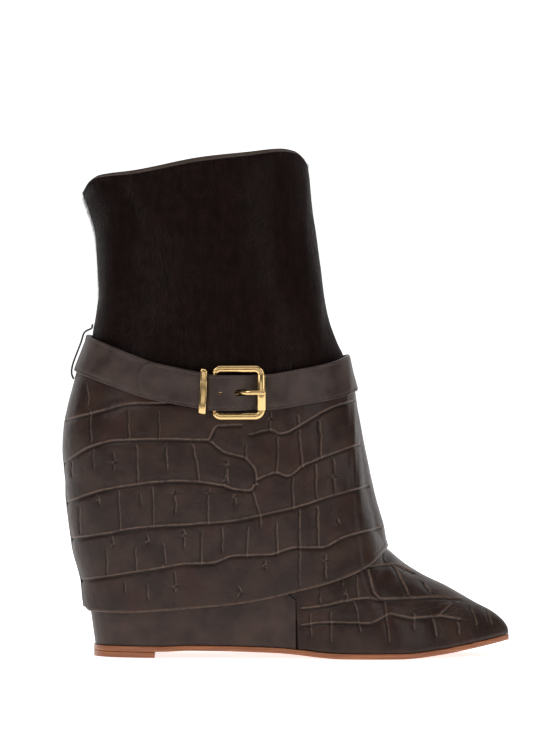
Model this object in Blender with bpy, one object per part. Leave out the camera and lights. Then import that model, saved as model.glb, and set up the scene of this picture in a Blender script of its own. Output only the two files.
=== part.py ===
"""A right ankle boot with a covered wedge: pointed foot, hair-on shaft, fold-over cuff and belt.

Metres, +Z up, +X towards the toe. The outer side of this right boot faces -Y.
The origin is the centre of the heel tap's underside, on the floor.

The whole boot is one form, the last: at each place along the boot and each height it has
a half width. Every leather piece is a layer of that form, set in or out by its own wall.
"""

import math
from collections import namedtuple

import bmesh
import bpy
import numpy as np
from mathutils import Matrix, Vector

# Driving sizes
SOLE_LENGTH = 0.235
BALL_WIDTH = 0.080
BOOT_HEIGHT = 0.286
HEEL_SEAT_HEIGHT = 0.097
COLLAR_WIDTH = 0.084
TOE_SPRING = 0.0085
WEDGE_LENGTH = 0.115

# Thicknesses
UPPER_WALL = 0.0018
SHAFT_WALL = 0.0020
CUFF_WALL = 0.0012
INSOLE_THICKNESS = 0.0025
OUTSOLE_THICKNESS = 0.0030
TAP_THICKNESS = 0.0032
TAP_LENGTH = 0.0345
SOLE_OVERHANG = 0.0008

# Belt, its loop at the back, and the metal
BELT_WIDTH = 0.020
BELT_THICKNESS = 0.0016
BELT_OVERLAP = 0.044
LOOP_WIDTH = 0.006
LOOP_THICKNESS = 0.0011
LOOP_SLACK = 0.0013
BUCKLE_LENGTH = 0.030
BUCKLE_HEIGHT = 0.0305
BUCKLE_BAR = 0.0038
BUCKLE_DEPTH = 0.0030
PIVOT_BAR = 0.0024
PRONG_WIDTH = 0.0024
PRONG_DEPTH = 0.0016
KEEPER_WIDTH = 0.0036
KEEPER_DEPTH = 0.0016
KEEPER_SETBACK = 0.0058
PRONG_SLOT_LENGTH = 0.0076
PRONG_SLOT_WIDTH = 0.0036
ROLLER_LENGTH = 0.0200
ROLLER_WIDTH = 0.0052
ROLLER_DEPTH = 0.0044

# Fits between pieces that touch, and how high the ankle's form takes over from the foot's
GAP = 0.0003
BELT_EASE = 0.0005
CUFF_CLEARANCE = 0.0012
ANKLE_RISE = 0.045

# Where things lie, as shares of the sole's length or of the line they lie on
SHANK_START = 0.43
SHANK_END = 0.68
BUCKLE_PIVOT = 0.505
CUFF_FRONT_EDGE = 0.215
CUFF_LOOSE_BELOW = 0.50

HEEL_BACK = -TAP_LENGTH / 2
TAP_TOP = TAP_THICKNESS + GAP

Line = namedtuple("Line", "height place")
Bed = namedtuple("Bed", "place height")
Under = namedtuple("Under", "place heel toe")
Plan = namedtuple("Plan", "place half centre")
Width = namedtuple("Width", "height half")
Edge = namedtuple("Edge", "place height")
Ring = namedtuple("Ring", "back front turn")
Ease = namedtuple("Ease", "height back front half")
Rise = namedtuple("Rise", "distance rise")

# Back of the heel and leg: height as a share of BOOT_HEIGHT, place as a share of SOLE_LENGTH
BACK_LINE = [
    Line(0.000, 0.006), Line(0.023, 0.003), Line(0.090, -0.009), Line(0.210, -0.028),
    Line(0.322, -0.046), Line(0.343, -0.049), Line(0.367, -0.055), Line(0.413, -0.061),
    Line(0.455, -0.060), Line(0.490, -0.054), Line(0.524, -0.045), Line(0.570, -0.031),
    Line(0.600, -0.017), Line(0.629, -0.005), Line(0.652, -0.001), Line(0.690, 0.006),
    Line(0.722, 0.011), Line(0.784, 0.007), Line(0.836, 0.002), Line(0.876, -0.011),
    Line(0.920, -0.029), Line(1.000, -0.046),
]

# Front of the boot from the toe over the vamp ridge and up the leg, same shares
FRONT_LINE = [
    Line(0.000, 1.0005), Line(0.031, 1.0000), Line(0.0437, 1.0000), Line(0.054, 0.9970),
    Line(0.066, 0.9880), Line(0.084, 0.9630), Line(0.108, 0.9090), Line(0.136, 0.8500),
    Line(0.159, 0.7920), Line(0.183, 0.7460), Line(0.2035, 0.7170), Line(0.2175, 0.6980),
    Line(0.245, 0.6830), Line(0.294, 0.6670), Line(0.371, 0.6468), Line(0.458, 0.6320),
    Line(0.490, 0.6260), Line(0.530, 0.6200), Line(0.560, 0.6100), Line(0.594, 0.6010),
    Line(0.620, 0.5860), Line(0.661, 0.5685), Line(0.712, 0.5550), Line(0.769, 0.5465),
    Line(0.836, 0.5355), Line(0.902, 0.5240), Line(0.971, 0.5150), Line(1.000, 0.5110),
]

# Foot bed over the wedge: place along the sole, height as a share of HEEL_SEAT_HEIGHT
ARCH_LINE = [
    Bed(-0.060, 1.000), Bed(0.085, 0.969), Bed(0.170, 0.887), Bed(0.255, 0.773),
    Bed(0.340, 0.634), Bed(0.425, 0.479), Bed(0.510, 0.330), Bed(0.596, 0.196),
    Bed(0.660, 0.115), Bed(0.740, 0.050), Bed(1.000, 0.030),
]

# Underside of the outsole: shares of the tap's top and of TOE_SPRING
UNDERSIDE = [
    Under(0.000, 1.00, 0.00), Under(0.160, 1.00, 0.00), Under(0.230, 1.18, 0.00),
    Under(0.440, 0.83, 0.00), Under(0.600, 0.00, 0.00), Under(0.740, 0.00, 0.00),
    Under(0.830, 0.00, 0.21), Under(0.920, 0.00, 0.59), Under(1.000, 0.00, 1.00),
]

# Outline of the sole from above: half width and centre as shares of BALL_WIDTH
SOLE_PLAN = [
    Plan(0.000, 0.050, 0.000), Plan(0.008, 0.120, 0.000), Plan(0.030, 0.203, 0.000),
    Plan(0.070, 0.272, 0.000), Plan(0.130, 0.322, 0.000), Plan(0.200, 0.338, 0.000),
    Plan(0.300, 0.334, 0.000), Plan(0.400, 0.340, 0.000), Plan(0.500, 0.388, -0.008),
    Plan(0.590, 0.455, -0.014), Plan(0.660, 0.494, -0.008), Plan(0.720, 0.498, 0.006),
    Plan(0.780, 0.462, 0.022), Plan(0.840, 0.384, 0.038), Plan(0.900, 0.276, 0.052),
    Plan(0.950, 0.168, 0.062), Plan(0.980, 0.092, 0.067), Plan(1.000, 0.022, 0.070),
]

# Half width of the leg by height, as a share of COLLAR_WIDTH
LEG_WIDTHS = [
    Width(0.100, 0.370), Width(0.340, 0.400), Width(0.400, 0.422), Width(0.455, 0.450),
    Width(0.524, 0.488), Width(0.594, 0.506), Width(0.700, 0.505), Width(0.840, 0.498),
    Width(1.000, 0.500),
]

# Middle of the belt round the boot: place from back to front, height share of BOOT_HEIGHT
BELT_LINE = [
    Edge(0.000, 0.6000), Edge(0.100, 0.5824), Edge(0.200, 0.5641), Edge(0.264, 0.5530),
    Edge(0.335, 0.5449), Edge(0.436, 0.5342), Edge(0.510, 0.5276), Edge(0.684, 0.5282),
    Edge(0.813, 0.5377), Edge(0.933, 0.5495), Edge(1.000, 0.5610),
]

# Collar's rim from back to front
COLLAR_LINE = [
    Edge(0.000, 0.9160), Edge(0.008, 0.9225), Edge(0.030, 0.9380), Edge(0.065, 0.9475),
    Edge(0.110, 0.9510), Edge(0.214, 0.9560), Edge(0.520, 0.9820), Edge(0.740, 0.9930),
    Edge(0.890, 1.0000), Edge(0.945, 0.9960), Edge(0.980, 0.9840), Edge(1.000, 0.9700),
]

# Cuff's lower edge from back to front
CUFF_LINE = [
    Edge(0.000, 0.0980), Edge(0.020, 0.0905), Edge(0.120, 0.0900), Edge(0.310, 0.0975),
    Edge(0.514, 0.1095), Edge(0.590, 0.1175), Edge(0.716, 0.1355), Edge(0.806, 0.1500),
    Edge(0.921, 0.1790), Edge(0.980, 0.2050), Edge(1.000, 0.2180),
]

# Rings of the upper between its lower edge and the belt: height shares at the back and the
# front, and how far the ring has turned from the foot bed's curve to the belt's
UPPER_RINGS = [
    Ring(0.351, 0.054, 0.02), Ring(0.363, 0.070, 0.05), Ring(0.378, 0.092, 0.10),
    Ring(0.395, 0.117, 0.17), Ring(0.414, 0.143, 0.26), Ring(0.435, 0.171, 0.37),
    Ring(0.455, 0.201, 0.49), Ring(0.468, 0.218, 0.55), Ring(0.482, 0.245, 0.62),
    Ring(0.503, 0.301, 0.74), Ring(0.528, 0.374, 0.85), Ring(0.552, 0.458, 0.94),
    Ring(0.576, 0.521, 1.00),
]

# The cuff hangs clear of the boot: slack behind and in front as shares of SOLE_LENGTH,
# half width as a share of COLLAR_WIDTH
CUFF_EASE = [
    Ease(0.098, 0.0094, 0.0060, 0.440), Ease(0.146, 0.0068, 0.0060, 0.468),
    Ease(0.218, 0.0170, 0.0060, 0.492), Ease(0.262, 0.0172, 0.0128, 0.505),
    Ease(0.306, 0.0166, 0.0102, 0.514), Ease(0.373, 0.0090, 0.0089, 0.524),
    Ease(0.431, 0.0072, 0.0043, 0.526), Ease(0.466, 0.0050, 0.0026, 0.520),
    Ease(0.508, 0.0028, 0.0009, 0.490), Ease(0.550, 0.0010, 0.0000, 0.430),
    Ease(0.640, 0.0000, 0.0000, 0.400),
]

# How the belt's free end climbs over its own start: distance in front of the pivot bar as
# a share of BUCKLE_LENGTH, rise as a share of the way to the top of the pivot bar
FREE_END_RISE = [
    Rise(-0.50, 0.44), Rise(-0.20, 0.45), Rise(-0.13, 0.54), Rise(-0.05, 0.98),
    Rise(0.10, 1.00), Rise(0.36, 0.92), Rise(0.52, 0.60), Rise(0.74, 0.06),
    Rise(0.87, 0.00),
]

SHELL_SIDE_STEPS = 22
SHAFT_SIDE_STEPS = 18
SHAFT_RINGS = 9
CUFF_SIDE_STEPS = 20
CUFF_RINGS = 11
SOLE_STEPS = 26
BELT_STEPS = 108
LEG_OVAL = 2.15
VAMP_OVAL = 1.95
CUFF_OVAL = 2.5
UNION_POWER = 16
LINE_SAMPLES = 420
SHARP_TURN = 12


def smooth_line(xs, ys):
    """A cubic line through the points that never overshoots them."""
    xs = np.array(xs, dtype=float)
    ys = np.array(ys, dtype=float)
    slopes = np.diff(ys) / np.diff(xs)
    before, after = slopes[:-1], slopes[1:]
    same_way = before * after > 0
    total = np.where(same_way, before + after, 1.0)
    inner = np.where(same_way, 2 * before * after / total, 0.0)
    tangents = np.concatenate([[slopes[0]], inner, [slopes[-1]]])

    def value(at):
        at = np.clip(np.asarray(at, dtype=float), xs[0], xs[-1])
        i = np.clip(np.searchsorted(xs, at, side="right") - 1, 0, len(xs) - 2)
        step = xs[i + 1] - xs[i]
        t = (at - xs[i]) / step
        rest = 1 - t
        value_part = ys[i] * (1 + 2 * t) * rest ** 2 + ys[i + 1] * t ** 2 * (3 - 2 * t)
        slope_part = step * (tangents[i] * t * rest ** 2 - tangents[i + 1] * t ** 2 * rest)
        return value_part + slope_part

    return value


def column(rows, name, size=1.0):
    return [getattr(row, name) * size for row in rows]


def place_x(share):
    return HEEL_BACK + share * SOLE_LENGTH


def height_line(rows):
    """x by height, from a table of shares."""
    heights = column(rows, "height", BOOT_HEIGHT)
    return smooth_line(heights, [place_x(row.place) for row in rows])


def edge_line(rows):
    """Height by place from back (0) to front (1)."""
    return smooth_line(column(rows, "place"), column(rows, "height", BOOT_HEIGHT))


back_line = height_line(BACK_LINE)
front_line = height_line(FRONT_LINE)
belt_line = edge_line(BELT_LINE)
collar_line = edge_line(COLLAR_LINE)
cuff_line = edge_line(CUFF_LINE)
plan_half = smooth_line(column(SOLE_PLAN, "place"), column(SOLE_PLAN, "half", BALL_WIDTH))
plan_centre = smooth_line(column(SOLE_PLAN, "place"), column(SOLE_PLAN, "centre", BALL_WIDTH))
leg_half = smooth_line(
    column(LEG_WIDTHS, "height", BOOT_HEIGHT), column(LEG_WIDTHS, "half", COLLAR_WIDTH))
arch_line = smooth_line(
    column(ARCH_LINE, "place"), column(ARCH_LINE, "height", HEEL_SEAT_HEIGHT))
underside_line = smooth_line(
    column(UNDERSIDE, "place"),
    [row.heel * TAP_TOP + row.toe * TOE_SPRING for row in UNDERSIDE])
ease_heights = column(CUFF_EASE, "height", BOOT_HEIGHT)
cuff_back_ease = smooth_line(ease_heights, column(CUFF_EASE, "back", SOLE_LENGTH))
cuff_front_ease = smooth_line(ease_heights, column(CUFF_EASE, "front", SOLE_LENGTH))
cuff_half_width = smooth_line(ease_heights, column(CUFF_EASE, "half", COLLAR_WIDTH))


def blend(a, b, share):
    return a + (b - a) * share


def soft_step(t):
    t = np.clip(t, 0.0, 1.0)
    return t * t * (3 - 2 * t)


def sole_place(x):
    return (x - HEEL_BACK) / SOLE_LENGTH


def centre_y(x):
    return plan_centre(sole_place(x))


def outsole_bottom(x):
    return underside_line(sole_place(x))


def outsole_top(x):
    return outsole_bottom(x) + OUTSOLE_THICKNESS


def bed_height(x):
    """Top of the insole: the arch over the wedge, then just above the outsole."""
    arch = arch_line(sole_place(x))
    flat = outsole_top(x) + GAP + INSOLE_THICKNESS
    softness = INSOLE_THICKNESS
    return (arch + flat + np.sqrt((arch - flat) ** 2 + softness ** 2)) / 2


def offset_front(inset):
    """The front line moved square to itself by the inset, as x and height samples."""
    heights = np.linspace(outsole_top(place_x(1.0)), BOOT_HEIGHT, LINE_SAMPLES)
    xs = front_line(heights)
    slope = np.gradient(xs, heights)
    size = np.sqrt(1 + slope ** 2)
    return xs - inset / size, heights + inset * slope / size


FRONTS = {}


def front_samples(inset):
    key = round(inset, 7)
    if key not in FRONTS:
        FRONTS[key] = offset_front(inset)
    return FRONTS[key]


def front_x(height, inset=0.0):
    xs, heights = front_samples(inset)
    return np.interp(height, heights, xs)


def ridge_height(x, inset=0.0):
    xs, heights = front_samples(inset)
    return np.interp(x, xs[::-1], heights[::-1])


def back_x(height, inset=0.0):
    return back_line(height) + inset


def oval(t, power):
    """Half an oval from 0 to 1 and back, over t from 0 to 1."""
    away = np.clip(np.abs(2 * t - 1), 0.0, 1.0)
    return (1 - away ** power) ** (1 / power)


def narrowed(half, inset):
    """Take a wall off a half width, never past nothing."""
    if inset <= 0:
        return half - inset
    return half * half / (half + inset)


def last_half(x, height, inset=0.0):
    """Half width of the boot's form at a place and a height."""
    x = np.asarray(x, dtype=float)
    height = np.asarray(height, dtype=float)
    back = back_x(height, inset)
    front = front_x(height, inset)
    toe = place_x(1.0) - inset
    leg = leg_half(height) * oval((x - back) / (front - back), LEG_OVAL)
    foot = plan_half((x - back) / (toe - back)) - SOLE_OVERHANG
    foot = np.clip(foot, 0.0, None)
    rise = soft_step((height - bed_height(x)) / ANKLE_RISE)
    heel = blend(foot, leg, rise)
    base = outsole_top(x)
    up = np.clip((height - base) / (ridge_height(x, inset) - base), 0.0, 1.0)
    vamp = foot * (1 - up ** VAMP_OVAL) ** (1 / VAMP_OVAL)
    shank = (sole_place(x) - SHANK_START) / (SHANK_END - SHANK_START)
    return narrowed(blend(heel, vamp, soft_step(shank)), inset)


def cosine_places(steps):
    """Places from back to front, closest at both ends."""
    return [0.5 - 0.5 * math.cos(math.pi * i / steps) for i in range(steps + 1)]


def loop_round(xs, halves, heights):
    """A closed loop of points: forward along the outer side, back along the inner side."""
    centres = centre_y(np.asarray(xs))
    count = len(xs)
    outer = [Vector((xs[i], centres[i] - halves[i], heights[i])) for i in range(count)]
    inner = [Vector((xs[i], centres[i] + halves[i], heights[i])) for i in range(count)]
    return outer + inner[-2:0:-1]


def close_ends(halves):
    halves = np.array(halves, dtype=float)
    halves[0] = 0.0
    halves[-1] = 0.0
    return halves


def new_object(name, bm, material, sharp=30):
    bmesh.ops.recalc_face_normals(bm, faces=bm.faces)
    mesh = bpy.data.meshes.new(name)
    bm.to_mesh(mesh)
    bm.free()
    mesh.shade_smooth()
    mesh.set_sharp_from_angle(angle=math.radians(sharp))
    mesh.materials.append(material)
    obj = bpy.data.objects.new(name, mesh)
    bpy.context.scene.collection.objects.link(obj)
    return obj


def join_loops(bm, lower, upper):
    count = len(lower)
    for i in range(count):
        j = (i + 1) % count
        bm.faces.new((lower[i], lower[j], upper[j], upper[i]))


def add_loops(bm, loops):
    return [[bm.verts.new(point) for point in loop] for loop in loops]


def shell(name, outer_loops, inner_loops, material):
    """A wall between two stacks of loops, open at both ends."""
    bm = bmesh.new()
    outer = add_loops(bm, outer_loops)
    inner = add_loops(bm, inner_loops)
    for stack in (outer, inner):
        for lower, upper in zip(stack, stack[1:]):
            join_loops(bm, lower, upper)
    join_loops(bm, outer[0], inner[0])
    join_loops(bm, outer[-1], inner[-1])
    return new_object(name, bm, material)


def solid(name, loops, material, sharp=30):
    """A stack of loops closed at both ends."""
    bm = bmesh.new()
    stack = add_loops(bm, loops)
    for lower, upper in zip(stack, stack[1:]):
        join_loops(bm, lower, upper)
    bm.faces.new(stack[0])
    bm.faces.new(stack[-1])
    return new_object(name, bm, material, sharp)


def plain_material(name, colour, roughness, metallic=0.0):
    material = bpy.data.materials.new(name)
    material.use_nodes = True
    shader = material.node_tree.nodes["Principled BSDF"]
    shader.inputs["Base Color"].default_value = (*colour, 1.0)
    shader.inputs["Roughness"].default_value = roughness
    shader.inputs["Metallic"].default_value = metallic
    return material


def upper_places():
    """Places round the upper, with two side by side where its edge steps off the wedge."""
    back = back_x(HEEL_SEAT_HEIGHT)
    step = (HEEL_BACK + WEDGE_LENGTH - back) / (place_x(1.0) - back)
    half_gap = GAP / (place_x(1.0) - back)
    places = [p for p in cosine_places(SHELL_SIDE_STEPS) if abs(p - step) > 0.02]
    return np.array(sorted(places + [step - half_gap, step + half_gap]))


def bed_shape(places):
    """How far down the foot bed has come at each place, from 0 at the heel to 1 at the toe."""
    xs = blend(back_x(HEEL_SEAT_HEIGHT), place_x(1.0), places)
    start = bed_height(xs[0])
    return (start - bed_height(xs)) / (start - bed_height(xs[-1]))


def bottom_loop(places, inset):
    """Where the upper ends: under the foot bed over the wedge, on the outsole in front."""
    seat = HEEL_SEAT_HEIGHT - INSOLE_THICKNESS
    toe = outsole_top(place_x(1.0)) + GAP
    xs = blend(back_x(seat, inset), front_x(toe, inset), places)
    step = HEEL_BACK + WEDGE_LENGTH
    outer_xs = blend(back_x(seat), front_x(toe), places)
    heights = np.where(
        outer_xs < step, bed_height(xs) - INSOLE_THICKNESS, outsole_top(xs) + GAP)
    return loop_round(xs, close_ends(last_half(xs, heights, inset)), heights)


def upper_loop(places, ring, inset):
    back_height = ring.back * BOOT_HEIGHT
    front_height = ring.front * BOOT_HEIGHT
    slope = (front_line(front_height + GAP) - front_line(front_height - GAP)) / (2 * GAP)
    front_height += inset * slope / math.sqrt(1 + slope ** 2)
    xs = blend(back_x(back_height, inset), front_x(front_height, inset), places)
    down = blend(bed_shape(places), places, ring.turn)
    straight = blend(belt_line(0.0), belt_line(1.0), places)
    sag = straight - belt_line(places)
    heights = blend(back_height, front_height, down) - ring.turn * sag
    return loop_round(xs, close_ends(last_half(xs, heights, inset)), heights)


def leg_loop(places, heights, inset):
    xs = blend(back_x(heights[0], inset), front_x(heights[-1], inset), places)
    return loop_round(xs, close_ends(last_half(xs, heights, inset)), heights)


def make_upper(material):
    places = upper_places()
    top = belt_line(places) - GAP / 2

    def stack(inset):
        loops = [bottom_loop(places, inset)]
        loops += [upper_loop(places, ring, inset) for ring in UPPER_RINGS]
        return loops + [leg_loop(places, top, inset)]

    return shell("upper", stack(0.0), stack(UPPER_WALL), material)


def make_shaft(material):
    places = np.array(cosine_places(SHAFT_SIDE_STEPS))

    def stack(inset):
        loops = []
        for i in range(SHAFT_RINGS + 1):
            share = i / SHAFT_RINGS
            heights = blend(belt_line(places) + GAP / 2, collar_line(places), share)
            loops.append(leg_loop(places, heights, inset))
        return loops

    return shell("shaft", stack(0.0), stack(SHAFT_WALL), material)


def cuff_back_x(height, inset):
    return back_x(height) - GAP - CUFF_WALL - cuff_back_ease(height) + inset


def cuff_front_x(height, inset):
    height = np.maximum(height, CUFF_FRONT_EDGE * BOOT_HEIGHT)
    return front_x(height) + GAP + CUFF_WALL + cuff_front_ease(height) - inset


def cuff_half(x, height, inset):
    """The wider of a hanging skirt and the boot under it."""
    back = cuff_back_x(height, inset)
    front = cuff_front_x(height, inset)
    skirt = cuff_half_width(height) * oval((x - back) / (front - back), CUFF_OVAL)
    skirt = narrowed(skirt, inset)
    loose = soft_step((CUFF_LOOSE_BELOW * BOOT_HEIGHT - height) / ANKLE_RISE)
    body = last_half(x, height, inset - GAP - CUFF_WALL) + CUFF_CLEARANCE * loose
    return (skirt ** UNION_POWER + body ** UNION_POWER) ** (1 / UNION_POWER)


def belt_half_height(place):
    """Half the belt's width, measured upright where the belt slopes."""
    place = np.clip(np.asarray(place, dtype=float), 0.0, 1.0)
    span = front_x(belt_line(1.0)) - back_x(belt_line(0.0))
    step = 0.02
    low = np.clip(place - step, 0.0, 1.0)
    high = np.clip(place + step, 0.0, 1.0)
    slope = (belt_line(high) - belt_line(low)) / ((high - low) * span)
    round_the_end = 2 * np.sqrt(place * (1 - place))
    return BELT_WIDTH / 2 * np.sqrt(1 + (slope * round_the_end) ** 2)


def cuff_top(places):
    return belt_line(places) + 0.8 * belt_half_height(places)


def cuff_loop(places, share, inset):
    heights = blend(cuff_line(places), cuff_top(places), share)
    back = cuff_back_x(heights[0], inset)
    front = cuff_front_x(heights[-1], inset)
    xs = blend(back, front, places)
    return loop_round(xs, close_ends(cuff_half(xs, heights, inset)), heights)


def make_cuff(material):
    places = np.array(cosine_places(CUFF_SIDE_STEPS))
    shares = [i / CUFF_RINGS for i in range(CUFF_RINGS + 1)]
    outer = [cuff_loop(places, share, 0.0) for share in shares]
    inner = [cuff_loop(places, share, CUFF_WALL) for share in shares]
    return shell("cuff", outer, inner, material)


def ladder(name, sections, material):
    """A solid through four-cornered sections from back to front."""
    loops = []
    for x_top, x_bottom, half_top, half_bottom, top, bottom in sections:
        y_top = float(centre_y(x_top))
        y_bottom = float(centre_y(x_bottom))
        loops.append([
            Vector((x_top, y_top - half_top, top)),
            Vector((x_top, y_top + half_top, top)),
            Vector((x_bottom, y_bottom + half_bottom, bottom)),
            Vector((x_bottom, y_bottom - half_bottom, bottom)),
        ])
    return solid(name, loops, material)


def sole_shares():
    """Even shares along the sole, with the ends of its flat spot and of the tap among them."""
    flat = [row.place for row in UNDERSIDE if row.heel == 0 and row.toe == 0]
    tap = TAP_LENGTH / SOLE_LENGTH
    wanted = [0.0, tap, flat[0], flat[-1], 1.0]
    shares = [p for p in cosine_places(SOLE_STEPS) if min(abs(p - w) for w in wanted) > 0.008]
    return sorted(shares + wanted)


def make_outsole(material):
    sections = []
    for share in sole_shares():
        x = place_x(share)
        half = float(plan_half(share))
        bottom = float(outsole_bottom(x))
        sections.append((x, x, half, half, bottom + OUTSOLE_THICKNESS, bottom))
    return ladder("outsole", sections, material)


def make_tap(material):
    end = TAP_LENGTH / SOLE_LENGTH
    sections = []
    for share in [s for s in sole_shares() if s <= end + GAP]:
        x = place_x(share) + (GAP if share == 0.0 else 0.0)
        half = float(plan_half(share)) - GAP
        sections.append((x, x, half, half, TAP_THICKNESS, 0.0))
    return ladder("heel_tap", sections, material)


def make_insole(material):
    inset = UPPER_WALL + GAP
    count = SOLE_STEPS
    toe_height = float(bed_height(place_x(1.0)))
    back = float(back_x(HEEL_SEAT_HEIGHT, inset)) + 2 * GAP
    front = float(front_x(toe_height, inset)) - INSOLE_THICKNESS
    sections = []
    for share in cosine_places(count):
        x = blend(back, front, share)
        top = float(bed_height(x))
        bottom = max(top - INSOLE_THICKNESS, float(outsole_top(x)) + GAP)
        half = float(min(last_half(x, top, inset), last_half(x, bottom, inset)))
        half = max(half - 2 * GAP, GAP)
        sections.append((x, x, half, half, top, bottom))
    return ladder("insole", sections, material)


def make_wedge(material):
    """The covered heel, with the narrower core that runs on inside the upper."""
    end = HEEL_BACK + WEDGE_LENGTH - 3 * GAP
    sections = []
    steps = 18
    for i in range(steps + 1):
        share = 1 - math.cos(math.pi / 2 * i / steps)
        top_x = blend(float(back_x(HEEL_SEAT_HEIGHT)), end, share)
        top = float(bed_height(top_x)) - INSOLE_THICKNESS - 2 * GAP
        bottom_x = blend(float(back_x(TAP_TOP + OUTSOLE_THICKNESS)), end, share)
        bottom = float(outsole_top(bottom_x)) + GAP
        half_top = max(float(last_half(top_x, top)), BALL_WIDTH * SOLE_PLAN[0].half)
        half_bottom = max(float(last_half(bottom_x, bottom)), BALL_WIDTH * SOLE_PLAN[0].half)
        sections.append((top_x, bottom_x, half_top, half_bottom, top, bottom))
    inset = UPPER_WALL + 2 * GAP
    core_start = end + GAP
    core_end = place_x(SHANK_END)
    core_steps = 6
    for i in range(core_steps + 1):
        x = blend(core_start, core_end, i / core_steps)
        top = float(bed_height(x)) - INSOLE_THICKNESS - 2 * GAP
        bottom = float(outsole_top(x)) + GAP
        if top - bottom < GAP:
            break
        half = float(min(last_half(x, top, inset), last_half(x, bottom, inset))) - GAP
        sections.append((x, x, half, half, top - (GAP if i == 0 else 0.0), bottom))
    return ladder("wedge_heel", sections, material)


def belt_point(turn, across, outward):
    """A point on the belt's path: whole turns run from back to front and round again."""
    place = 0.5 - 0.5 * math.cos(math.pi * turn)
    height = float(belt_line(place) + across * belt_half_height(place))
    inset = -BELT_EASE - outward
    x = blend(float(cuff_back_x(height, inset)), float(cuff_front_x(height, inset)), place)
    side = math.sin(math.pi * turn)
    half = float(cuff_half(x, height, inset)) * min(1.0, abs(side) * SHARP_TURN)
    return Vector((x, float(centre_y(x)) + math.copysign(half, side), height))


PIVOT_TURN = math.acos(1 - 2 * BUCKLE_PIVOT) / math.pi
PIVOT_REACH = (BUCKLE_LENGTH - BUCKLE_BAR) / 2
BUCKLE_BOW = (BUCKLE_LENGTH / 2) ** 2 / SOLE_LENGTH


def turns_per_metre():
    """Turns of the belt's path for each metre along it, beside the buckle."""
    step = 0.03
    ahead = belt_point(2 - PIVOT_TURN + step, 0.0, 0.0)
    behind = belt_point(2 - PIVOT_TURN - step, 0.0, 0.0)
    return 2 * step / (ahead - behind).length


TURNS = turns_per_metre()


def buckle_frame_axes():
    """A place on the outer side, square to the belt: along it, up across it, and out."""
    middle = 2 - PIVOT_TURN - PIVOT_REACH * TURNS
    step = BUCKLE_LENGTH / 4 * TURNS
    origin = belt_point(middle, 0.0, 0.0)
    along = belt_point(middle - step, 0.0, 0.0) - belt_point(middle + step, 0.0, 0.0)
    along.normalize()
    up = belt_point(middle, 1.0, 0.0) - belt_point(middle, -1.0, 0.0)
    out = along.cross(up).normalized()
    up = out.cross(along).normalized()
    axes = Matrix((along, up, out)).transposed().to_4x4()
    axes.translation = origin
    return axes


def frame_level(x):
    """Height of the frame's middle over the cuff: low at the pivot, over the belt in front."""
    low = BUCKLE_DEPTH / 2 + GAP
    high = BELT_THICKNESS + 2 * GAP + ROLLER_DEPTH / 2
    share = (x + BUCKLE_LENGTH / 2) / BUCKLE_LENGTH
    return float(blend(low, high, soft_step(share)))


def free_end_rise(turn):
    """Rise of the belt above the cuff, by its turn: over the pivot bar, then on its start."""
    distance = (2 - PIVOT_TURN - turn) / TURNS
    rows = smooth_line(
        column(FREE_END_RISE, "distance", BUCKLE_LENGTH), column(FREE_END_RISE, "rise"))
    over_pivot = frame_level(-PIVOT_REACH) + PIVOT_BAR / 2 + BUCKLE_BOW + GAP
    resting = BELT_THICKNESS + GAP
    return max(float(rows(distance)) * over_pivot, resting if distance < -PIVOT_BAR else 0.0)


def tip_share(turn, end):
    """The free end's point: how much of the width is left near its tip."""
    left = max(end - turn, 0.0) / TURNS
    rounding = BELT_WIDTH * 0.42
    return math.sqrt(1 - (1 - min(left / rounding, 1.0)) ** 2) * 0.72 + 0.28


def make_belt(material, hardware_axes):
    """One strap: from the buckle round the heel and the front, and back through the buckle."""
    start = -PIVOT_TURN + (PIVOT_BAR / 2 + GAP) * TURNS
    end = 2 - PIVOT_TURN + BELT_OVERLAP * TURNS
    sections = []
    for i in range(BELT_STEPS + 1):
        turn = blend(start, end, i / BELT_STEPS)
        rise = free_end_rise(turn) if turn > 1 else 0.0
        width = tip_share(turn, end) if turn > 1.5 else 1.0
        lines = [-width, -width / 2, 0.0, width / 2, width]
        inside = [belt_point(turn, across, rise) for across in lines]
        outside = [belt_point(turn, across, rise + BELT_THICKNESS) for across in lines]
        sections.append(inside + outside[::-1])
    belt = solid("belt", sections, material)
    slot_middle = BUCKLE_LENGTH * 0.06
    bm = bmesh.new()
    bmesh.ops.create_cube(bm, size=1.0)
    size = Vector((PRONG_SLOT_LENGTH, PRONG_SLOT_WIDTH, BELT_WIDTH / 2))
    bmesh.ops.scale(bm, vec=size, verts=bm.verts)
    bmesh.ops.translate(bm, vec=(slot_middle, 0.0, 0.0), verts=bm.verts)
    bmesh.ops.transform(bm, matrix=hardware_axes, verts=bm.verts)
    cutter = new_object("prong_slot_cutter", bm, material)
    cutter.hide_render = True
    cutter.display_type = "WIRE"
    cut = belt.modifiers.new("prong slot", "BOOLEAN")
    cut.operation = "DIFFERENCE"
    cut.object = cutter
    return belt


def round_section(centre, side, up, width, depth, corners=8):
    """A rounded rectangle with the given width along side and depth along up."""
    points = []
    for i in range(corners):
        angle = 2 * math.pi * (i + 0.5) / corners
        c, s = math.cos(angle), math.sin(angle)
        across = math.copysign(abs(c) ** 0.6, c) * width / 2
        rise = math.copysign(abs(s) ** 0.6, s) * depth / 2
        points.append(centre + side * across + up * rise)
    return points


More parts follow.
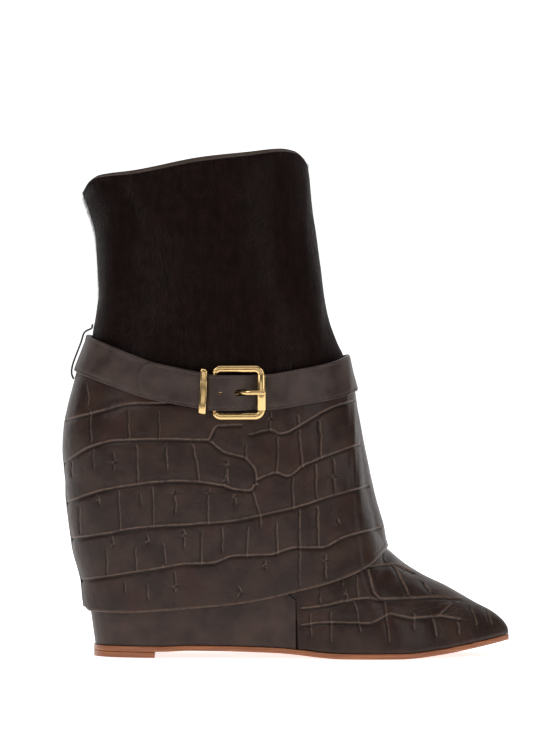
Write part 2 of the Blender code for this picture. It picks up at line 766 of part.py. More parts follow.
def frame_path(steps_per_corner=4):
    """Centre line of the buckle's frame from the pivot bar round to it again."""
    half_length = (BUCKLE_LENGTH - BUCKLE_BAR) / 2
    half_height = (BUCKLE_HEIGHT - BUCKLE_BAR) / 2
    radius = BUCKLE_BAR * 0.8
    path = []
    for sx, sy in ((1, 1), (-1, 1), (-1, -1), (1, -1)):
        start = math.atan2(sy, sx) - math.pi / 4
        for i in range(steps_per_corner + 1):
            angle = start + math.pi / 2 * i / steps_per_corner
            x = sx * (half_length - radius) + radius * math.cos(angle)
            y = sy * (half_height - radius) + radius * math.sin(angle)
            path.append((x, y))
    return path


def make_buckle_frame(material, axes):
    path = frame_path()
    count = len(path)
    out = Vector((0, 0, 1))
    bm = bmesh.new()
    rings = []
    pivot_x = -PIVOT_REACH
    for i, (x, y) in enumerate(path):
        ahead = path[(i + 1) % count]
        behind = path[i - 1]
        direction = Vector((ahead[0] - behind[0], ahead[1] - behind[1], 0)).normalized()
        side = direction.cross(out)
        on_pivot = abs(x - pivot_x) < BUCKLE_BAR * 0.02 and abs(y) < BUCKLE_HEIGHT
        width = PIVOT_BAR if on_pivot else BUCKLE_BAR
        depth = PIVOT_BAR if on_pivot else BUCKLE_DEPTH
        centre = Vector((x, y, frame_level(x)))
        rings.append(add_loops(bm, [round_section(centre, side, out, width, depth)])[0])
    for i in range(count):
        join_loops(bm, rings[i], rings[(i + 1) % count])
    bmesh.ops.transform(bm, matrix=axes, verts=bm.verts)
    return new_object("buckle_frame", bm, material, 50)


def make_roller(material, axes):
    """The sleeve that turns on the buckle's front bar."""
    along = Vector((1, 0, 0))
    out = Vector((0, 0, 1))
    corners = 16
    outside = []
    bore = []
    for y in (-ROLLER_LENGTH / 2, ROLLER_LENGTH / 2):
        centre = Vector((PIVOT_REACH, y, frame_level(PIVOT_REACH)))
        outside.append(round_section(
            centre, along, out, ROLLER_WIDTH, ROLLER_DEPTH, corners))
        bore.append(round_section(
            centre, along, out, BUCKLE_BAR + 2 * GAP, BUCKLE_DEPTH + 2 * GAP, corners))
    outside = [[axes @ point for point in loop] for loop in outside]
    bore = [[axes @ point for point in loop] for loop in bore]
    return shell("buckle_roller", outside, bore, material)


def make_prong(material, axes):
    """The prong: under the belt, up through its slot, and over the roller."""
    half = BUCKLE_LENGTH / 2
    low = frame_level(-PIVOT_REACH)
    front_bar = PIVOT_REACH
    top = frame_level(front_bar) + ROLLER_DEPTH / 2 + GAP + PRONG_DEPTH / 2
    stations = [
        (-PIVOT_REACH + PIVOT_BAR / 2 + GAP, low), (-0.16 * half, low),
        (0.06 * half, low + 0.30 * (top - low)), (0.34 * half, low + 0.86 * (top - low)),
        (0.56 * half, top), (front_bar, top + GAP), (half, top), (half + GAP, top - GAP),
    ]
    side = Vector((0, 1, 0))
    loops = []
    for i, (x, z) in enumerate(stations):
        before = stations[max(i - 1, 0)]
        after = stations[min(i + 1, len(stations) - 1)]
        direction = Vector((after[0] - before[0], 0, after[1] - before[1])).normalized()
        up = side.cross(direction) * -1
        taper = 0.75 if i == len(stations) - 1 else 1.0
        centre = Vector((x, 0, z))
        loops.append(round_section(
            centre, side, up, PRONG_WIDTH * taper, PRONG_DEPTH * taper))
    loops = [[axes @ point for point in loop] for loop in loops]
    return solid("buckle_prong", loops, material, 50)


def make_keeper(material):
    """A metal bar over both layers of belt, with a leg down past each edge."""
    distance = KEEPER_SETBACK * TURNS
    middle = 2 - PIVOT_TURN + distance
    rise = 2 * (BELT_THICKNESS + GAP) + 2 * GAP
    reach = 1.0 + 3 * GAP / (BELT_WIDTH / 2)
    outer = 1.0 + (3 * GAP + KEEPER_DEPTH) / (BELT_WIDTH / 2)
    half_turn = KEEPER_WIDTH / 2 * TURNS
    outline = [
        (-outer, 0.0), (-outer, rise + 0.6 * KEEPER_DEPTH), (-reach, rise + KEEPER_DEPTH),
        (0.0, rise + KEEPER_DEPTH), (reach, rise + KEEPER_DEPTH),
        (outer, rise + 0.6 * KEEPER_DEPTH), (outer, 0.0),
        (reach, 0.0), (reach, rise), (0.0, rise), (-reach, rise), (-reach, 0.0),
    ]
    loops = []
    for turn in (middle - half_turn, middle + half_turn):
        loops.append([belt_point(turn, across, outward) for across, outward in outline])
    return solid("keeper", loops, material, 40)


def make_back_loop(material):
    """The thin leather loop at the back seam that holds the belt up."""
    belt_mid = float(belt_line(0.0))
    half = float(belt_half_height(0.0))
    over_cuff = GAP + LOOP_THICKNESS / 2
    over_belt = over_cuff + GAP + BELT_THICKNESS
    on_shaft = over_cuff - GAP - CUFF_WALL
    stations = [
        (1.60 * half, on_shaft), (1.40 * half, on_shaft), (1.20 * half, over_belt),
        (1.00 * half, over_belt + 0.8 * LOOP_SLACK), (0.60 * half, over_belt + LOOP_SLACK),
        (-0.20 * half, over_belt + LOOP_SLACK), (-0.90 * half, over_belt + 0.6 * LOOP_SLACK),
        (-1.20 * half, over_belt), (-1.50 * half, over_cuff),
    ]
    points = []
    for rise, offset in stations:
        height = belt_mid + rise
        points.append(Vector((float(cuff_back_x(height, 0.0)) - offset, 0.0, height)))
    side = Vector((0, 1, 0))
    loops = []
    for i, point in enumerate(points):
        before = points[max(i - 1, 0)]
        after = points[min(i + 1, len(points) - 1)]
        across = side.cross((after - before).normalized())
        loops.append(round_section(point, side, across, LOOP_WIDTH, LOOP_THICKNESS))
    return solid("back_loop", loops, material, 50)


def main():
    for obj in list(bpy.data.objects):
        bpy.data.objects.remove(obj, do_unlink=True)
    croc = plain_material("embossed_leather", (0.040, 0.022, 0.018), 0.38)
    hair = plain_material("hair_on_hide", (0.012, 0.007, 0.005), 0.60)
    strap = plain_material("strap_leather", (0.045, 0.026, 0.022), 0.42)
    sole = plain_material("sole_edge", (0.380, 0.120, 0.040), 0.45)
    lining = plain_material("lining_leather", (0.120, 0.080, 0.055), 0.65)
    gold = plain_material("gold_metal", (0.720, 0.430, 0.130), 0.22, 1.0)
    make_outsole(sole)
    make_tap(sole)
    make_wedge(croc)
    make_insole(lining)
    make_upper(croc)
    make_shaft(hair)
    make_cuff(croc)
    axes = buckle_frame_axes()
    make_belt(strap, axes)
    make_back_loop(strap)
    make_buckle_frame(gold, axes)
    make_roller(gold, axes)
    make_prong(gold, axes)
    make_keeper(gold)


main()
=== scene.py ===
# %% [markdown]
# # Ankle boot in embossed leather and hair-on hide
#
# A right boot with a pointed foot, a covered wedge, a hair-on shaft, a fold-over cuff and one
# belt that goes round twice at the outer side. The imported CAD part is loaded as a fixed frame,
# and each leather piece is made again from the same form with finer detail: creases, seams,
# stitches, hair and wear. Metres, +Z up, +X towards the toe, outer side facing -Y.

import math

import bmesh
import bpy
import numpy as np
from mathutils import Matrix, Vector


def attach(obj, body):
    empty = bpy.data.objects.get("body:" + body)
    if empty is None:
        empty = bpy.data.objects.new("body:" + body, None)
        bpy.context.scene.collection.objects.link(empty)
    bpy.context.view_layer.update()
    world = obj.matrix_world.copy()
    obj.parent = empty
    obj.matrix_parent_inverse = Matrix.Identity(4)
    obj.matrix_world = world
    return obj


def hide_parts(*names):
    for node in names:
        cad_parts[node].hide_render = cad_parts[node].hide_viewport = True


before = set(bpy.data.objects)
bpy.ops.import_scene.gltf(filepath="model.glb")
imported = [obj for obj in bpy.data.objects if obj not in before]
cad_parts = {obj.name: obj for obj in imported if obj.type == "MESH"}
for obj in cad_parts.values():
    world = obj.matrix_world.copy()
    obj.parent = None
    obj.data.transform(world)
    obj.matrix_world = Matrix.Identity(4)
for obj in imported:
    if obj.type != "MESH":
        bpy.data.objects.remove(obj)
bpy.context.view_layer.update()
print("CAD nodes:", ", ".join(sorted(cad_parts)))

# %% [markdown]
# ## The boot's sizes and its form
#
# The same named sizes, tables and form functions as the CAD part. At each place along the
# boot and each height the form has a half width, and every leather piece is a layer of it.

# %% Sizes
SOLE_LENGTH = 0.235
BALL_WIDTH = 0.080
BOOT_HEIGHT = 0.286
HEEL_SEAT_HEIGHT = 0.097
COLLAR_WIDTH = 0.084
TOE_SPRING = 0.0085
WEDGE_LENGTH = 0.115
UPPER_WALL = 0.0018
SHAFT_WALL = 0.0020
CUFF_WALL = 0.0012
INSOLE_THICKNESS = 0.0025
OUTSOLE_THICKNESS = 0.0030
TAP_THICKNESS = 0.0032
TAP_LENGTH = 0.0345
SOLE_OVERHANG = 0.0008
BELT_WIDTH = 0.020
BELT_THICKNESS = 0.0016
BELT_OVERLAP = 0.044
LOOP_WIDTH = 0.006
LOOP_THICKNESS = 0.0011
LOOP_SLACK = 0.0013
BUCKLE_LENGTH = 0.030
BUCKLE_HEIGHT = 0.0305
BUCKLE_BAR = 0.0038
BUCKLE_DEPTH = 0.0030
PIVOT_BAR = 0.0024
PRONG_WIDTH = 0.0024
PRONG_DEPTH = 0.0016
KEEPER_WIDTH = 0.0036
KEEPER_DEPTH = 0.0016
KEEPER_SETBACK = 0.0058
ROLLER_LENGTH = 0.0200
ROLLER_WIDTH = 0.0052
ROLLER_DEPTH = 0.0044
GAP = 0.0003
BELT_EASE = 0.0005
CUFF_CLEARANCE = 0.0012
ANKLE_RISE = 0.045
SHANK_START = 0.43
SHANK_END = 0.68
BUCKLE_PIVOT = 0.505
CUFF_FRONT_EDGE = 0.215
CUFF_LOOSE_BELOW = 0.50
HEEL_BACK = -TAP_LENGTH / 2
TAP_TOP = TAP_THICKNESS + GAP
LEG_OVAL = 2.15
VAMP_OVAL = 1.95
CUFF_OVAL = 2.5
UNION_POWER = 16
LINE_SAMPLES = 420
SHARP_TURN = 12
MM = 0.001

BACK_LINE = [
    (0.000, 0.006), (0.023, 0.003), (0.090, -0.009), (0.210, -0.028), (0.322, -0.046),
    (0.343, -0.049), (0.367, -0.055), (0.413, -0.061), (0.455, -0.060), (0.490, -0.054),
    (0.524, -0.045), (0.570, -0.031), (0.600, -0.017), (0.629, -0.005), (0.652, -0.001),
    (0.690, 0.006), (0.722, 0.011), (0.784, 0.007), (0.836, 0.002), (0.876, -0.011),
    (0.920, -0.029), (1.000, -0.046),
]
FRONT_LINE = [
    (0.000, 1.0005), (0.031, 1.0000), (0.0437, 1.0000), (0.054, 0.9970), (0.066, 0.9880),
    (0.084, 0.9630), (0.108, 0.9090), (0.136, 0.8500), (0.159, 0.7920), (0.183, 0.7460),
    (0.2035, 0.7170), (0.2175, 0.6980), (0.245, 0.6830), (0.294, 0.6670), (0.371, 0.6468),
    (0.458, 0.6320), (0.490, 0.6260), (0.530, 0.6200), (0.560, 0.6100), (0.594, 0.6010),
    (0.620, 0.5860), (0.661, 0.5685), (0.712, 0.5550), (0.769, 0.5465), (0.836, 0.5355),
    (0.902, 0.5240), (0.971, 0.5150), (1.000, 0.5110),
]
ARCH_LINE = [
    (-0.060, 1.000), (0.085, 0.969), (0.170, 0.887), (0.255, 0.773), (0.340, 0.634),
    (0.425, 0.479), (0.510, 0.330), (0.596, 0.196), (0.660, 0.115), (0.740, 0.050),
    (1.000, 0.030),
]
UNDERSIDE = [
    (0.000, 1.00, 0.00), (0.160, 1.00, 0.00), (0.230, 1.18, 0.00), (0.440, 0.83, 0.00),
    (0.600, 0.00, 0.00), (0.740, 0.00, 0.00), (0.830, 0.00, 0.21), (0.920, 0.00, 0.59),
    (1.000, 0.00, 1.00),
]
SOLE_PLAN = [
    (0.000, 0.050, 0.000), (0.008, 0.120, 0.000), (0.030, 0.203, 0.000),
    (0.070, 0.272, 0.000), (0.130, 0.322, 0.000), (0.200, 0.338, 0.000),
    (0.300, 0.334, 0.000), (0.400, 0.340, 0.000), (0.500, 0.388, -0.008),
    (0.590, 0.455, -0.014), (0.660, 0.494, -0.008), (0.720, 0.498, 0.006),
    (0.780, 0.462, 0.022), (0.840, 0.384, 0.038), (0.900, 0.276, 0.052),
    (0.950, 0.168, 0.062), (0.980, 0.092, 0.067), (1.000, 0.022, 0.070),
]
LEG_WIDTHS = [
    (0.100, 0.370), (0.340, 0.400), (0.400, 0.422), (0.455, 0.450), (0.524, 0.488),
    (0.594, 0.506), (0.700, 0.505), (0.840, 0.498), (1.000, 0.500),
]
BELT_LINE = [
    (0.000, 0.6000), (0.100, 0.5824), (0.200, 0.5641), (0.264, 0.5530), (0.335, 0.5449),
    (0.436, 0.5342), (0.510, 0.5276), (0.684, 0.5282), (0.813, 0.5377), (0.933, 0.5495),
    (1.000, 0.5610),
]
COLLAR_LINE = [
    (0.000, 0.9160), (0.008, 0.9225), (0.030, 0.9380), (0.065, 0.9475), (0.110, 0.9510),
    (0.214, 0.9560), (0.520, 0.9820), (0.740, 0.9930), (0.890, 1.0000), (0.945, 0.9960),
    (0.980, 0.9840), (1.000, 0.9700),
]
CUFF_LINE = [
    (0.000, 0.0980), (0.020, 0.0905), (0.120, 0.0900), (0.310, 0.0975), (0.514, 0.1095),
    (0.590, 0.1175), (0.716, 0.1355), (0.806, 0.1500), (0.921, 0.1790), (0.980, 0.2050),
    (1.000, 0.2180),
]
UPPER_RINGS = [
    (0.351, 0.054, 0.02), (0.363, 0.070, 0.05), (0.378, 0.092, 0.10), (0.395, 0.117, 0.17),
    (0.414, 0.143, 0.26), (0.435, 0.171, 0.37), (0.455, 0.201, 0.49), (0.468, 0.218, 0.55),
    (0.482, 0.245, 0.62), (0.503, 0.301, 0.74), (0.528, 0.374, 0.85), (0.552, 0.458, 0.94),
    (0.576, 0.521, 1.00),
]
CUFF_EASE = [
    (0.098, 0.0094, 0.0060, 0.440), (0.146, 0.0068, 0.0060, 0.468),
    (0.218, 0.0170, 0.0060, 0.492), (0.262, 0.0172, 0.0128, 0.505),
    (0.306, 0.0166, 0.0102, 0.514), (0.373, 0.0090, 0.0089, 0.524),
    (0.431, 0.0072, 0.0043, 0.526), (0.466, 0.0050, 0.0026, 0.520),
    (0.508, 0.0028, 0.0009, 0.490), (0.550, 0.0010, 0.0000, 0.430),
    (0.640, 0.0000, 0.0000, 0.400),
]
FREE_END_RISE = [
    (-0.50, 0.44), (-0.20, 0.45), (-0.13, 0.54), (-0.05, 0.98), (0.10, 1.00), (0.36, 0.92),
    (0.52, 0.60), (0.74, 0.06), (0.87, 0.00),
]
print("sole", SOLE_LENGTH, "height", BOOT_HEIGHT, "heel seat", HEEL_SEAT_HEIGHT)


# %% The form
def smooth_line(points):
    """A cubic line through the points that never overshoots them."""
    xs, ys = np.array(points, dtype=float).T
    slopes = np.diff(ys) / np.diff(xs)
    before, after = slopes[:-1], slopes[1:]
    same_way = before * after > 0
    total = np.where(same_way, before + after, 1.0)
    inner = np.where(same_way, 2 * before * after / total, 0.0)
    tangents = np.concatenate([[slopes[0]], inner, [slopes[-1]]])

    def value(at):
        at = np.clip(np.asarray(at, dtype=float), xs[0], xs[-1])
        i = np.clip(np.searchsorted(xs, at, side="right") - 1, 0, len(xs) - 2)
        step = xs[i + 1] - xs[i]
        t = (at - xs[i]) / step
        rest = 1 - t
        value_part = ys[i] * (1 + 2 * t) * rest ** 2 + ys[i + 1] * t ** 2 * (3 - 2 * t)
        slope_part = step * (tangents[i] * t * rest ** 2 - tangents[i + 1] * t ** 2 * rest)
        return value_part + slope_part

    return value


def place_x(share):
    return HEEL_BACK + share * SOLE_LENGTH


def scaled(rows, column, x_size, y_size):
    return smooth_line([(row[0] * x_size, row[column] * y_size) for row in rows])


back_line = smooth_line([(z * BOOT_HEIGHT, place_x(x)) for z, x in BACK_LINE])
front_line = smooth_line([(z * BOOT_HEIGHT, place_x(x)) for z, x in FRONT_LINE])
belt_line = scaled(BELT_LINE, 1, 1.0, BOOT_HEIGHT)
collar_line = scaled(COLLAR_LINE, 1, 1.0, BOOT_HEIGHT)
cuff_line = scaled(CUFF_LINE, 1, 1.0, BOOT_HEIGHT)
plan_half = scaled(SOLE_PLAN, 1, 1.0, BALL_WIDTH)
plan_centre = scaled(SOLE_PLAN, 2, 1.0, BALL_WIDTH)
leg_half = scaled(LEG_WIDTHS, 1, BOOT_HEIGHT, COLLAR_WIDTH)
arch_line = scaled(ARCH_LINE, 1, 1.0, HEEL_SEAT_HEIGHT)
underside_line = smooth_line(
    [(place, heel * TAP_TOP + toe * TOE_SPRING) for place, heel, toe in UNDERSIDE])
cuff_back_ease = scaled(CUFF_EASE, 1, BOOT_HEIGHT, SOLE_LENGTH)
cuff_front_ease = scaled(CUFF_EASE, 2, BOOT_HEIGHT, SOLE_LENGTH)
cuff_half_width = scaled(CUFF_EASE, 3, BOOT_HEIGHT, COLLAR_WIDTH)


def blend(a, b, share):
    return a + (b - a) * share


def soft_step(t):
    t = np.clip(t, 0.0, 1.0)
    return t * t * (3 - 2 * t)


def sole_place(x):
    return (x - HEEL_BACK) / SOLE_LENGTH


def centre_y(x):
    return plan_centre(sole_place(x))


def outsole_bottom(x):
    return underside_line(sole_place(x))


def outsole_top(x):
    return outsole_bottom(x) + OUTSOLE_THICKNESS


def bed_height(x):
    """Top of the insole: the arch over the wedge, then just above the outsole."""
    arch = arch_line(sole_place(x))
    flat = outsole_top(x) + GAP + INSOLE_THICKNESS
    return (arch + flat + np.sqrt((arch - flat) ** 2 + INSOLE_THICKNESS ** 2)) / 2


FRONTS = {}


def front_samples(inset):
    """The front line moved square to itself by the inset, as x and height samples."""
    key = round(float(inset), 7)
    if key not in FRONTS:
        heights = np.linspace(outsole_top(place_x(1.0)), BOOT_HEIGHT, LINE_SAMPLES)
        xs = front_line(heights)
        slope = np.gradient(xs, heights)
        size = np.sqrt(1 + slope ** 2)
        FRONTS[key] = (xs - inset / size, heights + inset * slope / size)
    return FRONTS[key]


def front_x(height, inset=0.0):
    xs, heights = front_samples(inset)
    return np.interp(height, heights, xs)


def ridge_height(x, inset=0.0):
    xs, heights = front_samples(inset)
    return np.interp(x, xs[::-1], heights[::-1])


def back_x(height, inset=0.0):
    return back_line(height) + inset


def oval(t, power):
    """Half an oval from 0 to 1 and back, over t from 0 to 1."""
    away = np.clip(np.abs(2 * t - 1), 0.0, 1.0)
    return (1 - away ** power) ** (1 / power)


def narrowed(half, inset):
    """Take a wall off a half width, never past nothing."""
    if inset <= 0:
        return half - inset
    return half * half / (half + inset)


def last_half(x, height, inset=0.0):
    """Half width of the boot's form at a place and a height."""
    x = np.asarray(x, dtype=float)
    height = np.asarray(height, dtype=float)
    back = back_x(height, inset)
    front = front_x(height, inset)
    toe = place_x(1.0) - inset
    leg = leg_half(height) * oval((x - back) / (front - back), LEG_OVAL)
    foot = np.clip(plan_half((x - back) / (toe - back)) - SOLE_OVERHANG, 0.0, None)
    rise = soft_step((height - bed_height(x)) / ANKLE_RISE)
    heel = blend(foot, leg, rise)
    base = outsole_top(x)
    up = np.clip((height - base) / (ridge_height(x, inset) - base), 0.0, 1.0)
    vamp = foot * (1 - up ** VAMP_OVAL) ** (1 / VAMP_OVAL)
    shank = (sole_place(x) - SHANK_START) / (SHANK_END - SHANK_START)
    return narrowed(blend(heel, vamp, soft_step(shank)), inset)


def cuff_back_x(height, inset):
    return back_x(height) - GAP - CUFF_WALL - cuff_back_ease(height) + inset


def cuff_front_x(height, inset):
    height = np.maximum(height, CUFF_FRONT_EDGE * BOOT_HEIGHT)
    return front_x(height) + GAP + CUFF_WALL + cuff_front_ease(height) - inset


def cuff_half(x, height, inset):
    """The wider of a hanging skirt and the boot under it."""
    back = cuff_back_x(height, inset)
    front = cuff_front_x(height, inset)
    skirt = cuff_half_width(height) * oval((x - back) / (front - back), CUFF_OVAL)
    skirt = narrowed(skirt, inset)
    loose = soft_step((CUFF_LOOSE_BELOW * BOOT_HEIGHT - height) / ANKLE_RISE)
    body = last_half(x, height, inset - GAP - CUFF_WALL) + CUFF_CLEARANCE * loose
    return (skirt ** UNION_POWER + body ** UNION_POWER) ** (1 / UNION_POWER)


def belt_half_height(place):
    """Half the belt's width, measured upright where the belt slopes."""
    place = np.clip(np.asarray(place, dtype=float), 0.0, 1.0)
    span = front_x(belt_line(1.0)) - back_x(belt_line(0.0))
    low = np.clip(place - 0.02, 0.0, 1.0)
    high = np.clip(place + 0.02, 0.0, 1.0)
    slope = (belt_line(high) - belt_line(low)) / ((high - low) * span)
    round_the_end = 2 * np.sqrt(place * (1 - place))
    return BELT_WIDTH / 2 * np.sqrt(1 + (slope * round_the_end) ** 2)


print("form ready, ball half width", round(float(last_half(place_x(0.7), 0.008)), 4))

# %% [markdown]
# ## Fine meshes over the form
#
# A leather wall is a grid: loops round the boot stacked from its lower edge to its upper one.
# Relief moves the outer wall along its normals, and values for the shaders travel with it.

# %% Grids
def even_places(loop_of, steps, weight=None, samples=900):
    """Places from back to front that step evenly along the surface, or by the weight of x."""
    dense = 0.5 - 0.5 * np.cos(np.pi * np.linspace(0, 1, samples))
    points = loop_of(dense)
    sizes = np.linalg.norm(np.diff(points, axis=0), axis=1)
    if weight:
        sizes = sizes * weight(points[1:, 0])
    lengths = np.concatenate([[0], np.cumsum(sizes)])
    return np.interp(np.linspace(0, lengths[-1], steps + 1), lengths, dense)


def closed_halves(xs, halves):
    halves = np.array(halves, dtype=float)
    halves[..., 0] = 0.0
    halves[..., -1] = 0.0
    return halves


def side_points(xs, halves, heights, side):
    """Points of one side: the outer side is -1, the inner side 1."""
    ys = centre_y(xs) + side * halves
    return np.stack([xs, ys, heights], axis=-1)


def ring_points(row_of, outer_places, inner_places):
    """One loop: forward along the outer side, back along the inner side."""
    xs, halves, heights = row_of(outer_places)
    outer = side_points(xs, closed_halves(xs, halves), heights, -1)
    xs, halves, heights = row_of(inner_places)
    inner = side_points(xs, closed_halves(xs, halves), heights, 1)
    return np.concatenate([outer, inner[-2:0:-1]])


def grid_normals(grid):
    """Outward normals of a stack of closed loops."""
    round_way = np.roll(grid, -1, axis=1) - np.roll(grid, 1, axis=1)
    up_way = np.gradient(grid, axis=0)
    normals = np.cross(round_way, up_way)
    size = np.linalg.norm(normals, axis=-1, keepdims=True)
    return normals / np.maximum(size, 1e-12)


def loop_faces(rows, count, first=0, flipped=False):
    """Quads of a stack of closed loops, as vertex numbers."""
    i, j = np.meshgrid(np.arange(rows - 1), np.arange(count), indexing="ij")
    a = first + i * count + j
    b = first + i * count + (j + 1) % count
    quads = np.stack([a, b, b + count, a + count], axis=-1).reshape(-1, 4)
    return quads[:, ::-1] if flipped else quads


def join_faces(lower, upper, count):
    """Quads between two loops with the same number of points."""
    j = np.arange(count)
    k = (j + 1) % count
    return np.stack([lower + j, lower + k, upper + k, upper + j], axis=-1)


def mesh_piece(name, points, faces, values=None, smooth=True):
    """A mesh object from arrays, with per-point values for its shaders."""
    mesh = bpy.data.meshes.new(name)
    points = np.asarray(points, dtype=np.float32)
    mesh.from_pydata(points.tolist(), [], np.asarray(faces).tolist())
    for key, value in (values or {}).items():
        kind = "FLOAT" if np.ndim(value) == 1 else "FLOAT_VECTOR"
        attribute = mesh.attributes.new(key, kind, "POINT")
        field = "value" if kind == "FLOAT" else "vector"
        attribute.data.foreach_set(field, np.asarray(value, dtype=np.float32).ravel())
    if smooth:
        mesh.shade_smooth()
    mesh.validate()
    obj = bpy.data.objects.new(name, mesh)
    bpy.context.scene.collection.objects.link(obj)
    return obj


def wall_piece(name, outer, inner, values=None):
    """A wall between two grids of the same loops, closed by a strip of faces at each edge."""
    rows, count, _ = outer.shape
    inner_rows = inner.shape[0]
    total = rows * count
    points = np.concatenate([outer.reshape(-1, 3), inner.reshape(-1, 3)])
    faces = [
        loop_faces(rows, count),
        loop_faces(inner_rows, count, first=total, flipped=True),
        join_faces(total, 0, count),
        join_faces(total - count, total + (inner_rows - 1) * count, count),
    ]
    full = {}
    for key, value in (values or {}).items():
        rest = np.zeros((inner_rows * count,) + np.shape(value)[2:])
        full[key] = np.concatenate([np.reshape(value, (total,) + np.shape(value)[2:]), rest])
    return mesh_piece(name, points, np.concatenate(faces), full)


print("grids ready")

# %% [markdown]
# ## Creases of the embossed leather
#
# The long creases run from back to front and the short ones cross them. Their places are read
# from the photograph, in millimetres: x from the centre of the heel tap, z from the floor.
# The inner side isn't seen, so it has the same kind of creases, moved and bent a little.

# %% Creases
CUFF_LONG = [
    [(-32, 133.4), (-12.4, 138.5), (3.1, 142.1), (28.6, 143.3), (36, 144.2)],
    [(-33.7, 109.3), (-18.1, 118.6), (-4, 122), (17.3, 122.7), (47.7, 122), (52.7, 130), (66, 130.5)],
    [(47.7, 122), (58.3, 114.3), (68.8, 111.8)],
    [(-32.3, 86.7), (-13.9, 93.2), (7.4, 96.6), (31.5, 98.8), (55.5, 96.6), (62.6, 94.5),
     (71.7, 93.7), (74.5, 99.4), (73.9, 105), (68.8, 111.8)],
    [(74.5, 99.4), (85.9, 103.6), (92, 101.6), (100.8, 107.3), (116.4, 113.5), (132, 119.2)],
    [(71.1, 125.1), (82.4, 127.3), (88.1, 125.1), (102.3, 131.9), (116.4, 139.7), (129.4, 144.1)],
    [(-30.9, 66.1), (-11, 69), (3.1, 71.8), (17.3, 73.3), (40, 74.6), (59.8, 76.2), (76.8, 79.6),
     (95.2, 83.8), (116.4, 90.3), (137.6, 96)],
    [(-24.6, 42.8), (-4, 45.6), (14.5, 48.7), (34.3, 52), (49.9, 52.6), (62.6, 56.6),
     (82.4, 57.5), (97.7, 61.4), (110.7, 61.4), (124.3, 67.1), (144.1, 72.2)],
]
CUFF_SHORT = [
    [(-20.9, 152), (-20.6, 142)], [(-19, 138), (-18.6, 122)], [(2.5, 138), (2.8, 123.7)],
    [(19.5, 138), (19.8, 123.7)], [(-29.5, 109.6), (-29.2, 102.3)], [(-17.2, 116.4), (-17, 107.9)],
    [(-6, 115), (-5.6, 106.7)], [(7, 119), (7.6, 99.4)], [(24, 118), (24.4, 106.7)],
    [(38.8, 119.2), (42.2, 99.4)], [(58.3, 110.7), (58.5, 98.3)], [(-14.4, 89.8), (-14, 86.9)],
    [(9.3, 91.5), (9.5, 86.9)], [(28.5, 93.7), (29, 82.4)], [(62.6, 90.9), (62.5, 86.9)],
    [(72.5, 92.6), (76.8, 79.6)], [(95.2, 101), (95.3, 84.1)], [(-6.5, 67.1), (-6.3, 62.6)],
    [(13, 68.2), (13.2, 64.3)], [(33.7, 71.1), (34, 62.6)], [(55.2, 72.8), (55.5, 59.8)],
    [(76.8, 78.4), (77, 74.5)], [(98.8, 82.4), (99.2, 61.4)], [(120.6, 77.3), (121, 75.6)],
    [(0.3, 41.6), (0.5, 37.1)], [(13.3, 39.9), (13.5, 33.1)], [(28.6, 47.3), (28.8, 37.1)],
    [(64.9, 38.8), (65.1, 34.3)], [(79.6, 54.1), (79.9, 50.1)], [(98.8, 59.8), (99.2, 38.8)],
    [(113.6, 56.9), (113.8, 44.5)], [(86.6, 123.7), (85.9, 103.9)], [(82.4, 138.5), (82.6, 127.8)],
    [(98, 135.7), (98.3, 130.5)], [(98.9, 127.1), (100.8, 107.3)], [(68.8, 119.2), (68.6, 111.8)],
    [(58.3, 110.7), (56.5, 96.6)], [(-10, 60), (-9.6, 47)], [(6.5, 61), (7.2, 48.5)],
    [(22, 63.5), (22.6, 50.5)], [(44, 70), (43.6, 53)], [(70, 73), (69.2, 57.5)],
    [(86, 75), (86.4, 58)], [(109, 84), (109.4, 63)], [(108, 108), (108.6, 90)],
    [(118, 111), (119, 92.5)], [(-25, 84), (-24.6, 70)], [(-3, 93), (-2.4, 72)],
    [(16, 95), (16.6, 74.5)], [(48, 95), (47.4, 76)], [(110, 133), (111, 113)],
]
FOOT_LONG = [
    [(94.3, 26.3), (104.2, 26.9), (116.1, 28.8), (126, 30.9), (135.9, 32.3), (144.6, 31.8),
     (160, 32.3), (174.8, 32.8), (189.5, 31.8)],
    [(137.4, 48.4), (141.3, 36), (144.2, 32)], [(152.1, 51.2), (160, 35.4)],
    [(169.6, 40.5), (172.5, 36.5)], [(124, 48), (138, 50.5), (152, 51.5), (163, 47)],
    [(128, 62), (139, 60.5), (150, 62.5)], [(150, 24), (163, 21.5), (178, 22.5), (190, 20.5)],
    [(98, 17), (118, 19), (137, 18.5), (150, 24)], [(178, 22.5), (186, 30)],
]
FOOT_SHORT = [
    [(116.4, 25.2), (116.6, 9.3)], [(129.6, 30.3), (133.1, 15)], [(146.8, 30.9), (149.2, 9.3)],
    [(163.4, 24.1), (163.6, 16.1)], [(93.8, 34.8), (94, 30.9)], [(110.2, 33.7), (110.4, 31.4)],
    [(122.6, 46.6), (122.9, 40.4)], [(125.2, 36), (125.5, 32.6)], [(205.1, 25.7), (207.6, 18.1)],
    [(131, 45), (132, 34)], [(147, 61), (146, 52)], [(156, 60), (158, 50)], [(105, 24), (105.4, 12)],
    [(174, 21), (176, 12)], [(188, 19), (189, 13)], [(196, 27), (199, 18)], [(137, 73), (144, 64)],
]


